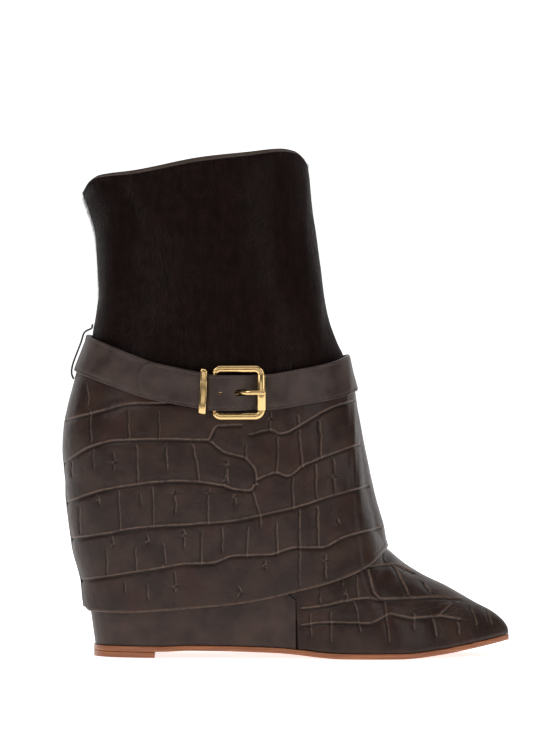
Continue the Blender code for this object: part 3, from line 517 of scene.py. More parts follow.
def bent_line(points, spread=0.0, seed=0):
    """A smooth line through the points, as short straight pieces, wavering by the spread."""
    points = np.array(points, dtype=float)
    lengths = np.concatenate([[0], np.cumsum(np.linalg.norm(np.diff(points, axis=0), axis=1))])
    count = max(int(lengths[-1] / 1.6), 4)
    at = np.linspace(0, lengths[-1], count + 1)
    if len(points) == 2:
        line = np.stack([np.interp(at, lengths, points[:, k]) for k in (0, 1)], axis=1)
    else:
        line = np.stack(
            [smooth_line(list(zip(lengths, points[:, k])))(at) for k in (0, 1)], axis=1)
    rng = np.random.default_rng(seed)
    wave = np.cumsum(rng.normal(0, 1, (count + 1, 2)), axis=0)
    wave -= np.linspace(wave[0], wave[-1], count + 1)
    return line + spread * wave / math.sqrt(count)


def crease_field(points, lines, chunk=4000):
    """Signed distance in mm from each point to the nearest line: above a line is positive."""
    starts = np.concatenate([line[:-1] for line in lines])
    ways = np.concatenate([np.diff(line, axis=0) for line in lines])
    flip = np.where(ways[:, 0:1] < 0, -1.0, 1.0)
    steep = np.abs(ways[:, 0]) < 0.25 * np.abs(ways[:, 1])
    lean = np.where(steep[:, None], np.where(ways[:, 1:2] > 0, -1.0, 1.0), flip)
    sizes = np.maximum((ways ** 2).sum(1), 1e-9)
    result = np.empty(len(points))
    for i in range(0, len(points), chunk):
        away = points[i:i + chunk, None, :] - starts[None]
        share = np.clip((away * ways[None]).sum(2) / sizes, 0, 1)
        near = away - share[..., None] * ways[None]
        distance = np.hypot(near[..., 0], near[..., 1])
        pick = distance.argmin(1)
        rows = np.arange(len(pick))
        cross = ways[pick, 0] * near[rows, pick, 1] - ways[pick, 1] * near[rows, pick, 0]
        sign = np.where(cross * lean[pick, 0] >= 0, 1.0, -1.0)
        result[i:i + chunk] = sign * distance[rows, pick]
    return result


def make_lines(tables, spread, seed, shift=(0.0, 0.0)):
    lines = []
    for i, points in enumerate(tables):
        lines.append(bent_line(points, spread, seed + i) + np.array(shift))
    return lines


def crease_relief(long_field, short_field):
    """Height in mm beside the creases: a soft lip above, a trough below, crowned between."""
    def profile(field, depth, width):
        trough = -depth * np.exp(-((field + 0.45) / width) ** 2)
        lip = 0.45 * depth * np.exp(-((field - 0.75) / width) ** 2)
        return trough + lip

    nearest = np.minimum(np.abs(long_field), np.abs(short_field))
    crown = 0.30 * (1 - np.exp(-(nearest / 3.2) ** 2))
    return profile(long_field, 0.55, 0.75) + profile(short_field, 0.38, 0.65) + crown


print("creases:", len(CUFF_LONG) + len(FOOT_LONG), "long,", len(CUFF_SHORT) + len(FOOT_SHORT), "short")

# %% [markdown]
# ## Materials

# %% Shader maths
class Wire:
    """A socket in a shader's tree, so that sums and products read as they are written."""

    def __init__(self, tree, socket):
        self.tree = tree
        self.socket = socket

    def maths(self, operation, *others):
        node = self.tree.nodes.new("ShaderNodeMath")
        node.operation = operation
        for i, value in enumerate((self,) + others):
            if isinstance(value, Wire):
                self.tree.links.new(value.socket, node.inputs[i])
            else:
                node.inputs[i].default_value = value
        return Wire(self.tree, node.outputs[0])

    def __add__(self, other):
        return self.maths("ADD", other)

    def __sub__(self, other):
        return self.maths("SUBTRACT", other)

    def __mul__(self, other):
        return self.maths("MULTIPLY", other)

    def __rsub__(self, other):
        return self.maths("MULTIPLY_ADD", -1.0, other)

    def hump(self, middle, width):
        """1 where the value is at the middle, falling softly to 0 a width away."""
        away = (self - middle).maths("ABSOLUTE")
        return self.node("ShaderNodeMapRange", {"interpolation_type": "SMOOTHSTEP"}, {
            "Value": away, "From Min": 0.0, "From Max": width, "To Min": 1.0, "To Max": 0.0})

    def ramp(self, low, high):
        """0 below the low value, 1 above the high one, softly between."""
        return self.node("ShaderNodeMapRange", {"interpolation_type": "SMOOTHSTEP"}, {
            "Value": self, "From Min": low, "From Max": high})

    def node(self, kind, settings, inputs, output=0):
        return add_node(self.tree, kind, settings, inputs, output)


def add_node(tree, kind, settings, inputs, output=0):
    """Any other node: its settings, its inputs as values or wires, and one output as a wire."""
    node = tree.nodes.new(kind)
    for key, value in settings.items():
        setattr(node, key, value)
    for key, value in inputs.items():
        if isinstance(value, Wire):
            tree.links.new(value.socket, node.inputs[key])
        else:
            node.inputs[key].default_value = value
    return Wire(tree, node.outputs[output])


class Look:
    """A material with one Principled shader."""

    def __init__(self, name, colour, roughness, **constants):
        self.material = bpy.data.materials.new(name)
        self.material.use_nodes = True
        self.tree = self.material.node_tree
        self.shader = self.tree.nodes["Principled BSDF"]
        self.set("Base Color", (*colour, 1.0))
        self.set("Roughness", roughness)
        for key, value in constants.items():
            self.set(key.replace("_", " "), value)

    def set(self, key, value):
        if isinstance(value, Wire):
            self.tree.links.new(value.socket, self.shader.inputs[key])
        else:
            self.shader.inputs[key].default_value = value

    def node(self, kind, settings=None, inputs=None, output=0):
        return add_node(self.tree, kind, settings or {}, inputs or {}, output)

    def place(self):
        """Object coordinates in millimetres."""
        here = self.node("ShaderNodeTexCoord", output="Object")
        return self.node("ShaderNodeVectorMath", {"operation": "SCALE"}, {
            "Vector": here, "Scale": 1 / MM})

    def noise(self, size, detail=3.0, stretch=None, output=0, roughness=0.5):
        """Noise with features about the size in millimetres, stretched where asked."""
        place = self.place()
        if stretch:
            place = self.node("ShaderNodeVectorMath", {"operation": "MULTIPLY"}, {
                0: place, 1: stretch})
        return self.node("ShaderNodeTexNoise", {}, {
            "Vector": place, "Scale": 1 / size, "Detail": detail, "Roughness": roughness}, output)

    def value(self, name):
        """A value that the mesh carries."""
        return self.node("ShaderNodeAttribute", {"attribute_name": name}, output="Fac")

    def mix(self, share, a, b):
        """One colour turning into another."""
        return self.node("ShaderNodeMix", {"data_type": "RGBA"}, {
            "Factor": share, "A": a if isinstance(a, Wire) else (*a, 1.0),
            "B": b if isinstance(b, Wire) else (*b, 1.0)}, "Result")

    def bump(self, height, strength, distance=MM):
        """Bump from a height in units of the distance."""
        normal = self.node("ShaderNodeBump", {}, {
            "Height": height, "Strength": strength, "Distance": distance})
        self.set("Normal", normal)


print("shader helpers ready")


# %% Leather, hide, metal and thread
def embossed_leather():
    """Dark brown embossed leather, semi-gloss: lighter along the lips of its creases, partly rubbed and
    partly a painted highlight, with painted shade just below each crease.
    """
    look = Look("croc_leather_look", (0.034, 0.019, 0.015), 0.40, Specular_IOR_Level=0.18)
    long_field = look.value("long_crease")
    short_field = look.value("short_crease")
    patches = look.noise(14.0, 3.0)
    redder = look.noise(22.0, 2.0).ramp(0.50, 0.70)
    colour = look.mix(patches.ramp(0.35, 0.70), (0.022, 0.011, 0.008), (0.040, 0.021, 0.015))
    colour = look.mix(redder * 0.55, colour, (0.042, 0.016, 0.010))
    broken = look.noise(3.0, 2.0).ramp(0.30, 0.55)
    wear_and_highlight_patches = look.noise(17.0, 2.0).ramp(0.25, 0.60)
    lip = long_field.hump(0.55, 0.95) * 0.80 + short_field.hump(0.50, 0.80) * 0.55
    shadow = long_field.hump(-0.55, 0.95) + short_field.hump(-0.50, 0.75) * 0.8
    # Painted shade: the colour is darkened just below each crease, where its shadow falls.
    colour = look.mix((shadow * 0.75).maths("MINIMUM", 0.8), colour, (0.010, 0.006, 0.005))
    # Lighter crease lips, in patches: partly rubbed colour, partly a painted highlight where the lips
    # would catch the light.
    light = (lip * (broken * 0.55 + 0.45) * (wear_and_highlight_patches * 0.5 + 0.5)).maths("MINIMUM", 1.0)
    colour = look.mix(light, colour, (0.150, 0.098, 0.074))
    edge = look.value("worn_edge")
    colour = look.mix(edge * (broken * 0.5 + 0.3), colour, (0.130, 0.082, 0.060))
    look.set("Base Color", colour)
    look.set("Roughness", patches.ramp(0.2, 0.8) * 0.16 + 0.33)
    look.set("Coat Weight", 0.10)
    look.set("Coat Roughness", 0.22)
    grain = look.noise(0.9, 3.0) * 0.10
    pebble = look.noise(4.5, 2.0) * 0.42
    groove = lip * 0.30 - shadow * 0.42
    look.bump(grain + pebble + groove, 0.85)
    return look.material


def plain_leather(name, colour, roughness, grain=0.08, coat=0.06):
    """Smooth leather with fine grain and a little unevenness."""
    look = Look(name, colour, roughness, Specular_IOR_Level=0.2)
    cloudy = look.noise(11.0, 3.0).ramp(0.25, 0.75)
    dark = tuple(c * 0.74 for c in colour)
    pale = tuple(min(c * 1.35, 1.0) for c in colour)
    look.set("Base Color", look.mix(cloudy, dark, pale))
    look.set("Roughness", cloudy * 0.10 + (roughness - 0.05))
    look.set("Coat Weight", coat)
    look.set("Coat Roughness", 0.25)
    look.bump(look.noise(0.7, 4.0) * grain + look.noise(5.0, 2.0) * 0.25, 0.8)
    return look.material


def hide():
    """The skin under the hair: nearly black brown."""
    look = Look("hide_look", (0.010, 0.006, 0.005), 0.62, Specular_IOR_Level=0.05)
    streaks = look.noise(3.0, 4.0, stretch=(1.0, 1.0, 0.16))
    look.set("Base Color", look.mix(streaks.ramp(0.3, 0.7), (0.006, 0.0025, 0.002), (0.014, 0.006, 0.005)))
    look.bump(look.noise(0.8, 3.0, stretch=(1.0, 1.0, 0.12)), 0.9, 0.6 * MM)
    return look.material


def hair():
    """Glossy dark hair whose tips catch the light, with lighter patches of painted sheen."""
    look = Look("hair_look", (0.012, 0.006, 0.005), 0.34, Specular_IOR_Level=0.12)
    # Painted sheen: noise patches where the hair colour is lighter, standing in for light caught by the
    # hair.
    look.set("Base Color", look.mix(look.noise(6.0, 3.0).ramp(0.3, 0.7),
                                    (0.008, 0.0032, 0.0026), (0.018, 0.008, 0.0065)))
    return look.material


def sole_edge():
    """Stacked sole leather with a waxed orange-tan edge and thin layer lines."""
    look = Look("sole_leather_look", (0.380, 0.120, 0.040), 0.42)
    layers = look.noise(0.55, 2.0, stretch=(0.02, 0.02, 1.0)).ramp(0.35, 0.65)
    mottled = look.noise(5.0, 3.0).ramp(0.30, 0.70)
    colour = look.mix(layers, (0.250, 0.070, 0.022), (0.440, 0.155, 0.055))
    colour = look.mix(mottled * 0.45, colour, (0.300, 0.090, 0.030))
    look.set("Base Color", colour)
    look.set("Coat Weight", 0.20)
    look.set("Coat Roughness", 0.25)
    look.bump(layers * 0.12 + look.noise(0.8, 3.0) * 0.08, 0.8)
    return look.material


def gold():
    look = Look("gold_metal_look", (0.830, 0.560, 0.250), 0.16, Metallic=1.0)
    look.set("Roughness", look.noise(6.0, 3.0).ramp(0.3, 0.7) * 0.10 + 0.12)
    look.bump(look.noise(2.5, 2.0), 0.12, 0.2 * MM)
    return look.material


def thread(name, colour):
    look = Look(name, colour, 0.55)
    look.bump(look.noise(0.25, 1.0), 0.5, 0.1 * MM)
    return look.material


CROC = embossed_leather()
WEDGE_COVER = plain_leather("wedge_cover_look", (0.050, 0.030, 0.024), 0.40)
STRAP = plain_leather("strap_leather_look", (0.050, 0.033, 0.028), 0.42)
LINING = plain_leather("lining_leather_look", (0.105, 0.070, 0.048), 0.62, coat=0.0)
PIPING = plain_leather("collar_edge_look", (0.030, 0.018, 0.014), 0.50)
HIDE = hide()
HAIR = hair()
SOLE = sole_edge()
GOLD = gold()
THREAD = thread("thread_look", (0.085, 0.060, 0.048))
DARK_THREAD = thread("dark_thread_look", (0.035, 0.022, 0.018))
print("materials:", len(bpy.data.materials))

# %% [markdown]
# ## The cuff
#
# A fold-over skirt hanging from under the belt, in embossed leather, with a stitched lower edge.

# %% Cuff
CAMERA_RISE = math.radians(2.5)


def seen_from_side(points, side):
    """Points as the photograph shows them, in millimetres: the near side looks a little lower."""
    flat = points.reshape(-1, 3) / MM
    away = side * flat[:, 1]
    return np.stack([flat[:, 0], flat[:, 2] - np.abs(away) * math.sin(CAMERA_RISE)], axis=1)


def creases_over(grid, outer_count, long_lines, short_lines, inner_long, inner_short):
    """The two crease fields over a stack of loops whose first part is the outer side."""
    fields = []
    for outer_lines, inner_lines in ((long_lines, inner_long), (short_lines, inner_short)):
        outer = crease_field(seen_from_side(grid[:, :outer_count], 1), outer_lines)
        inner = crease_field(seen_from_side(grid[:, outer_count:], 1), inner_lines)
        rows = grid.shape[0]
        fields.append(np.concatenate(
            [outer.reshape(rows, -1), inner.reshape(rows, -1)], axis=1))
    return fields


def blend_at_ridge(field, grid, outer_count):
    """Fade each side's creases into none where the sides meet at the back and the front."""
    rows = grid.shape[0]
    count = grid.shape[1]
    steps = np.arange(count)
    from_back = np.minimum(steps, count - steps)
    from_front = np.abs(steps - (outer_count - 1))
    near = np.minimum(from_back, from_front)
    hidden = np.clip(1 - near / 4.0, 0, 1)[None, :] * np.ones((rows, 1))
    return field + np.where(field >= 0, 1, -1) * hidden * 4.0


def cuff_top(places):
    return belt_line(places) + 0.8 * belt_half_height(places)


def cuff_row(share, inset):
    """The cuff's loop at a share of its depth, as a function of places."""
    ends = np.array([0.0, 1.0])
    heights = blend(cuff_line(ends), cuff_top(ends), share)
    back = cuff_back_x(heights[0], inset)
    front = cuff_front_x(heights[1], inset)

    def row(places):
        z = blend(cuff_line(places), cuff_top(places), share)
        xs = blend(back, front, places)
        return xs, cuff_half(xs, z, inset), z

    return row


def outer_line(row):
    def line(places):
        xs, halves, heights = row(places)
        return side_points(xs, closed_halves(xs, halves), heights, -1)

    return line


CUFF_OUTER_STEPS = 330
CUFF_INNER_STEPS = 170
CUFF_ROWS = 170
CUFF_INSIDE_ROWS = 24


def make_cuff():
    outer_places = even_places(outer_line(cuff_row(0.35, 0.0)), CUFF_OUTER_STEPS)
    inner_places = even_places(outer_line(cuff_row(0.35, 0.0)), CUFF_INNER_STEPS)
    shares = np.linspace(0, 1, CUFF_ROWS)
    grid = np.stack([
        ring_points(cuff_row(share, 0.0), outer_places, inner_places) for share in shares])
    inside = np.stack([
        ring_points(cuff_row(share, CUFF_WALL), outer_places, inner_places)
        for share in np.linspace(0, 1, CUFF_INSIDE_ROWS)])
    count = CUFF_OUTER_STEPS + 1
    long_lines = make_lines(CUFF_LONG, 0.5, 10)
    short_lines = make_lines(CUFF_SHORT, 0.7, 50)
    inner_long = make_lines(CUFF_LONG, 1.6, 110, shift=(4.0, -3.0))
    inner_short = make_lines(CUFF_SHORT, 1.4, 150, shift=(5.5, -2.0))
    long_field, short_field = creases_over(
        grid, count, long_lines, short_lines, inner_long, inner_short)
    long_field = blend_at_ridge(long_field, grid, count)
    short_field = blend_at_ridge(short_field, grid, count)
    depth = (grid[..., 2] - grid[:1, :, 2]) / MM
    at_edge = soft_step(depth / 4.0)
    under_belt = soft_step((grid[-1:, :, 2] - grid[..., 2]) / (22 * MM))
    relief = crease_relief(long_field, short_field) * at_edge * under_belt
    rolled = -0.45 * np.exp(-(depth / 0.7) ** 2)
    stitched = -0.16 * np.exp(-((depth - 3.0) / 0.8) ** 2)
    grid = grid + grid_normals(grid) * ((relief + rolled + stitched) * MM)[..., None]
    worn = np.exp(-(depth / 0.9) ** 2)
    fade = (1 - at_edge * under_belt) * 4.0
    values = {
        "long_crease": long_field + np.where(long_field >= 0, fade, -fade),
        "short_crease": short_field + np.where(short_field >= 0, fade, -fade),
        "worn_edge": worn,
    }
    piece = wall_piece("cuff_skirt", grid, inside, values)
    piece.data.materials.append(CROC)
    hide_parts("cuff")
    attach(piece, "root")
    return piece, grid


cuff, cuff_grid = make_cuff()
print("cuff:", len(cuff.data.polygons), "faces")

# %% [markdown]
# ## The foot
#
# The upper is one wall from the outsole to the belt. In front of the wedge it comes down to
# the outsole; over the wedge it ends under the foot bed. Its vamp has larger scales.

# %% Upper
UPPER_OUTER_STEPS = 270
UPPER_INNER_STEPS = 140
UPPER_LOW_ROWS = 48
UPPER_HIGH_ROWS = 96
UPPER_INSIDE_ROWS = 30
STEP_X = HEEL_BACK + WEDGE_LENGTH


def ring_line(column):
    return smooth_line([(i + 1, row[column]) for i, row in enumerate(UPPER_RINGS)])


ring_back, ring_front, ring_turn = ring_line(0), ring_line(1), ring_line(2)


def bed_shape(places):
    """How far down the foot bed has come at each place, from 0 at the heel to 1 at the toe."""
    xs = blend(back_x(HEEL_SEAT_HEIGHT), place_x(1.0), np.asarray(places))
    high = bed_height(back_x(HEEL_SEAT_HEIGHT))
    low = bed_height(place_x(1.0))
    return (high - bed_height(xs)) / (high - low)


def upper_bottom(places, inset):
    """Where the upper ends: under the foot bed over the wedge, on the outsole in front."""
    seat = HEEL_SEAT_HEIGHT - INSOLE_THICKNESS
    toe = outsole_top(place_x(1.0)) + GAP
    xs = blend(back_x(seat, inset), front_x(toe, inset), places)
    outer_xs = blend(back_x(seat), front_x(toe), places)
    over_wedge = bed_height(xs) - INSOLE_THICKNESS
    return xs, np.where(outer_xs < STEP_X, over_wedge, outsole_top(xs) + GAP)


def upper_ring(places, at, inset):
    """One ring of the upper, at a place in the table of rings that needn't be whole."""
    back_height = ring_back(at) * BOOT_HEIGHT
    front_height = ring_front(at) * BOOT_HEIGHT
    turn = ring_turn(at)
    slope = (front_line(front_height + GAP) - front_line(front_height - GAP)) / (2 * GAP)
    front_height = front_height + inset * slope / np.sqrt(1 + slope ** 2)
    xs = blend(back_x(back_height, inset), front_x(front_height, inset), places)
    down = blend(bed_shape(places), places, turn)
    straight = blend(belt_line(0.0), belt_line(1.0), places)
    sag = straight - belt_line(places)
    return xs, blend(back_height, front_height, down) - turn * sag


def upper_top(places, inset):
    heights = belt_line(places) - GAP / 2
    back = back_x(belt_line(0.0) - GAP / 2, inset)
    front = front_x(belt_line(1.0) - GAP / 2, inset)
    return blend(back, front, places), heights


def upper_row(at, inset):
    """A row of the upper from 0, its lower edge, to one past the last ring, its top."""
    last = len(UPPER_RINGS)

    def row(places):
        if at < 1:
            low = upper_bottom(places, inset)
            high = upper_ring(places, 1, inset)
            xs, zs = (blend(a, b, at) for a, b in zip(low, high))
        elif at <= last:
            xs, zs = upper_ring(places, at, inset)
        else:
            low = upper_ring(places, last, inset)
            high = upper_top(places, inset)
            xs, zs = (blend(a, b, at - last) for a, b in zip(low, high))
        return xs, last_half(xs, zs, inset), zs

    return row


def with_step(places):
    """The places, with two side by side where the lower edge steps off the wedge."""
    back = back_x(HEEL_SEAT_HEIGHT - INSOLE_THICKNESS)
    span = front_x(outsole_top(place_x(1.0)) + GAP) - back
    step = (STEP_X - back) / span
    half_gap = GAP / span
    kept = [p for p in places if abs(p - step) > 1.5 * half_gap]
    return np.array(sorted(kept + [step - half_gap, step + half_gap]))


def make_upper():
    def weight(x):
        return 0.30 + 0.70 * soft_step((x - 0.070) / 0.030)

    line = outer_line(upper_row(3.0, 0.0))
    outer_places = with_step(even_places(line, UPPER_OUTER_STEPS, weight))
    inner_places = with_step(even_places(line, UPPER_INNER_STEPS, weight))
    last = len(UPPER_RINGS)
    low = np.linspace(0, 1, UPPER_LOW_ROWS, endpoint=False)
    rows = np.concatenate([low, np.linspace(1, last, UPPER_HIGH_ROWS), [last + 1]])
    grid = np.stack([ring_points(upper_row(at, 0.0), outer_places, inner_places) for at in rows])
    inside_rows = np.concatenate([[0, 0.5], np.linspace(1, last, UPPER_INSIDE_ROWS), [last + 1]])
    inside = np.stack([
        ring_points(upper_row(at, UPPER_WALL), outer_places, inner_places) for at in inside_rows])
    count = len(outer_places)
    long_field, short_field = creases_over(
        grid, count, make_lines(FOOT_LONG, 0.4, 210), make_lines(FOOT_SHORT, 0.6, 250),
        make_lines(FOOT_LONG, 1.2, 310, shift=(-5.0, 1.5)),
        make_lines(FOOT_SHORT, 1.2, 350, shift=(-4.0, 1.0)))
    over_ridge = np.abs(grid[..., 1] - centre_y(grid[..., 0])) / MM
    at_ridge = soft_step(over_ridge / 3.0)
    above_sole = (grid[..., 2] - outsole_top(grid[..., 0])) / MM
    at_edge = soft_step(above_sole / 2.5)
    ahead = soft_step((grid[..., 0] - STEP_X) / (3 * MM))
    shown = at_edge * ahead
    fade = (1 - shown * (0.35 + 0.65 * at_ridge)) * 4.0
    relief = crease_relief(long_field, short_field) * shown * (0.35 + 0.65 * at_ridge)
    tucked = -0.35 * np.exp(-(above_sole / 0.9) ** 2) * ahead
    grid = grid + grid_normals(grid) * ((relief + tucked) * MM)[..., None]
    values = {
        "long_crease": long_field + np.where(long_field >= 0, fade, -fade),
        "short_crease": short_field + np.where(short_field >= 0, fade, -fade),
        "worn_edge": 0.5 * np.exp(-(above_sole / 1.0) ** 2) * ahead,
    }
    piece = wall_piece("upper_leather", grid, inside, values)
    piece.data.materials.append(CROC)
    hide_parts("upper")
    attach(piece, "root")
    return piece


upper = make_upper()
print("upper:", len(upper.data.polygons), "faces")

# %% Wedge cover
WEDGE_STEPS = 150
WEDGE_ROWS = 70


def wedge_side(side):
    """The wedge's side as rows of points, and the narrower core that runs under the upper."""
    end = STEP_X - 3 * GAP
    share = 1 - np.cos(np.pi / 2 * np.linspace(0, 1, WEDGE_STEPS))
    core = end + np.array([0.2, 1.2, 6.0]) * MM
    top_x = np.concatenate([blend(back_x(HEEL_SEAT_HEIGHT), end, share), core])
    top = bed_height(top_x) - INSOLE_THICKNESS - 2 * GAP
    bottom_x = np.concatenate([blend(back_x(TAP_TOP + OUTSOLE_THICKNESS), end, share), core])
    bottom = outsole_top(bottom_x) + GAP
    inside = np.where(top_x > end, UPPER_WALL + 2 * GAP, 0.0)
    rows = []
    for up in np.linspace(0, 1, WEDGE_ROWS):
        xs = blend(bottom_x, top_x, up)
        zs = blend(bottom, top, up)
        halves = last_half(xs, zs)
        halves[0] = 0.0
        above = (zs - bottom) / MM
        ahead = np.abs(end - xs) / MM
        tucked = 0.30 * np.exp(-(above / 0.9) ** 2) + 0.25 * np.exp(-(ahead / 0.8) ** 2)
        wrinkle = 0.22 * np.exp(-((zs / MM - 21.8 - 0.05 * xs / MM) / 0.5) ** 2)
        wrinkle = wrinkle * soft_step((4 - xs / MM) / 8)
        halves = np.maximum(halves - (tucked + wrinkle) * MM * (halves > 0) - inside, 0)
        rows.append(side_points(xs, halves, zs, side))
    return np.stack(rows)


def make_wedge():
    outer = wedge_side(-1)
    inner = wedge_side(1)
    grid = np.concatenate([outer, inner[:, -1:0:-1]], axis=1)
    rows, count, _ = grid.shape
    faces = [loop_faces(rows, count)]
    for first in (0, (rows - 1) * count):
        j = np.arange(1, outer.shape[1] - 1)
        faces.append(np.stack([
            first + j, first + j + 1, first + count - j - 1, first + count - j], axis=-1))
    piece = mesh_piece("wedge_cover", grid.reshape(-1, 3), np.concatenate(faces))
    tidy = bmesh.new()
    tidy.from_mesh(piece.data)
    bmesh.ops.holes_fill(tidy, edges=[e for e in tidy.edges if e.is_boundary], sides=4)
    bmesh.ops.recalc_face_normals(tidy, faces=tidy.faces)
    tidy.to_mesh(piece.data)
    tidy.free()
    piece.data.set_sharp_from_angle(angle=math.radians(50))
    piece.data.materials.append(WEDGE_COVER)
    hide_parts("wedge_heel")
    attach(piece, "root")
    return piece


wedge = make_wedge()
print("wedge:", len(wedge.data.polygons), "faces")


# %% Outsole, tap and foot bed
def slab_piece(name, xs, halves, bottoms, tops, rounding, material, node):
    """A thin layer with rounded edges, from its outline and its lower and upper faces."""
    loops = []
    turns = np.linspace(0, np.pi / 2, 4)
    levels = [(0, t) for t in turns] + [(1, t) for t in turns[::-1]]
    for top, turn in levels:
        pull = rounding * (1 - np.sin(turn))
        rise = rounding * (1 - np.cos(turn))
        zs = tops - rise if top else bottoms + rise
        narrow = np.maximum(halves - pull, 0.02 * MM)
        ends = xs.copy()
        ends[0] += pull
        ends[-1] -= pull
        outer = side_points(ends, narrow, zs, -1)
        inner = side_points(ends, narrow, zs, 1)
        loops.append(np.concatenate([outer, inner[::-1]]))
    grid = np.stack(loops)
    rows, count, _ = grid.shape
    faces = [loop_faces(rows, count)]
    for first in (0, (rows - 1) * count):
        j = np.arange(len(xs) - 1)
        faces.append(np.stack([
            first + j, first + j + 1, first + count - j - 2, first + count - j - 1], axis=-1))
    piece = mesh_piece(name, grid.reshape(-1, 3), np.concatenate(faces))
    tidy = bmesh.new()
    tidy.from_mesh(piece.data)
    bmesh.ops.recalc_face_normals(tidy, faces=tidy.faces)
    tidy.to_mesh(piece.data)
    tidy.free()
    piece.data.set_sharp_from_angle(angle=math.radians(50))
    piece.data.materials.append(material)
    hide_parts(node)
    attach(piece, "root")
    return piece


def make_soles():
    shares = 0.5 - 0.5 * np.cos(np.pi * np.linspace(0, 1, 260))
    xs = place_x(shares)
    bottoms = outsole_bottom(xs)
    slab_piece("outsole_leather", xs, plan_half(shares), bottoms, bottoms + OUTSOLE_THICKNESS,
               0.5 * MM, SOLE, "outsole")
    shares = (0.5 - 0.5 * np.cos(np.pi * np.linspace(0, 1, 90))) * TAP_LENGTH / SOLE_LENGTH
    xs = place_x(shares)
    xs[0] += GAP
    level = np.zeros_like(xs)
    slab_piece("heel_tap_leather", xs, plan_half(shares) - GAP, level, level + TAP_THICKNESS,
               0.35 * MM, SOLE, "heel_tap")
    inset = UPPER_WALL + GAP
    toe = bed_height(place_x(1.0))
    back = back_x(HEEL_SEAT_HEIGHT, inset) + 2 * GAP
    front = front_x(toe, inset) - INSOLE_THICKNESS
    xs = blend(back, front, 0.5 - 0.5 * np.cos(np.pi * np.linspace(0, 1, 120)))
    tops = bed_height(xs)
    bottoms = np.maximum(tops - INSOLE_THICKNESS, outsole_top(xs) + GAP)
    halves = np.minimum(last_half(xs, tops, inset), last_half(xs, bottoms, inset)) - 2 * GAP
    slab_piece("foot_bed", xs, np.maximum(halves, GAP), bottoms, tops, 0.3 * MM, LINING,
               "insole")


make_soles()
print("sole pieces made")

# %% [markdown]
# ## The shaft
#
# Hair-on hide over a leather lining, with a narrow leather edge round the collar. The hairs
# are thin blades scattered over the hide, lying down and a little back, and shorter and standing at the
# rim.

# %% Shaft wall
SHAFT_OUTER_STEPS = 220
SHAFT_INNER_STEPS = 150
SHAFT_ROWS = 80
EDGE_RADIUS = 0.9 * MM


def shaft_row(share, inset):
    def heights(places):
        return blend(belt_line(places) + GAP / 2, collar_line(places), share)

    ends = heights(np.array([0.0, 1.0]))
    back = back_x(ends[0], inset)
    front = front_x(ends[1], inset)

    def row(places):
        z = heights(places)
        xs = blend(back, front, places)
        return xs, last_half(xs, z, inset), z

    return row


def make_shaft():
    outer_places = even_places(outer_line(shaft_row(0.5, 0.0)), SHAFT_OUTER_STEPS)
    inner_places = even_places(outer_line(shaft_row(0.5, 0.0)), SHAFT_INNER_STEPS)
    grid, inside = (
        np.stack([
            ring_points(shaft_row(share, inset), outer_places, inner_places)
            for share in np.linspace(0, 1, SHAFT_ROWS)])
        for inset in (0.0, SHAFT_WALL))
    rng = np.random.default_rng(4)
    soft = np.zeros(grid.shape[:2])
    x, y, z = (grid[..., k] / MM for k in range(3))
    for size in (46.0, 30.0, 21.0, 15.0):
        ways = rng.normal(0, 1, (3, 3))
        for way in ways:
            way /= np.linalg.norm(way) * size / (2 * math.pi)
            soft += size / 46.0 * np.sin(x * way[0] + y * way[1] + z * way[2] + rng.uniform(0, 6))
    level = soft_step((z - z[:1]) / 12) * soft_step((z[-1:] - z) / 8)
    relief = 0.10 * soft * level
    grid = grid + grid_normals(grid) * (relief * MM)[..., None]
    piece = wall_piece("shaft_hide", grid, inside)
    piece.data.materials.append(HIDE)
    piece.data.materials.append(LINING)
    rows, count, _ = grid.shape
    first_inside = (rows - 1) * count
    index = np.zeros(len(piece.data.polygons), dtype=np.int32)
    index[first_inside:2 * first_inside] = 1
    piece.data.polygons.foreach_set("material_index", index)
    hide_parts("shaft")
    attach(piece, "root")
    return piece, grid, inside


def tube_piece(name, path, radius, material, corners=8, closed=True, flat=1.0):
    """A round or flattened tube along a path."""
    path = np.asarray(path)
    ahead = np.roll(path, -1, axis=0) - np.roll(path, 1, axis=0)
    if not closed:
        ahead[0] = path[1] - path[0]
        ahead[-1] = path[-1] - path[-2]
    ahead /= np.linalg.norm(ahead, axis=1, keepdims=True)
    up = np.array([0.0, 0.0, 1.0]) - ahead * ahead[:, 2:3]
    up /= np.linalg.norm(up, axis=1, keepdims=True)
    side = np.cross(ahead, up)
    turns = np.arange(corners) * 2 * np.pi / corners
    ring = (side[:, None] * np.cos(turns)[None, :, None]
            + up[:, None] * flat * np.sin(turns)[None, :, None])
    points = path[:, None] + radius * ring
    count = len(path)
    rows = count if closed else count - 1
    i, j = np.meshgrid(np.arange(rows), np.arange(corners), indexing="ij")
    a = i * corners + j
    b = i * corners + (j + 1) % corners
    c = (i + 1) % count * corners + (j + 1) % corners
    d = (i + 1) % count * corners + j
    faces = np.stack([a, b, c, d], axis=-1).reshape(-1, 4)
    piece = mesh_piece(name, points.reshape(-1, 3), faces)
    if not closed:
        tidy = bmesh.new()
        tidy.from_mesh(piece.data)
        bmesh.ops.holes_fill(tidy, edges=[e for e in tidy.edges if e.is_boundary], sides=corners)
        tidy.to_mesh(piece.data)
        tidy.free()
    piece.data.materials.append(material)
    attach(piece, "root")
    return piece


shaft, shaft_grid, shaft_inside = make_shaft()
rim = (shaft_grid[-1] + shaft_inside[-1]) / 2
rim[:, 2] -= EDGE_RADIUS * 0.55
collar_edge = tube_piece("collar_edge", rim, EDGE_RADIUS, PIPING, flat=1.15)
print("shaft:", len(shaft.data.polygons), "faces")


# %% Hair
def group_input(tree, name, kind, default):
    """A named input of the tree, and its identifier for the modifier."""
    socket = tree.interface.new_socket(name, in_out="INPUT", socket_type=kind)
    socket.default_value = default
    return socket.identifier


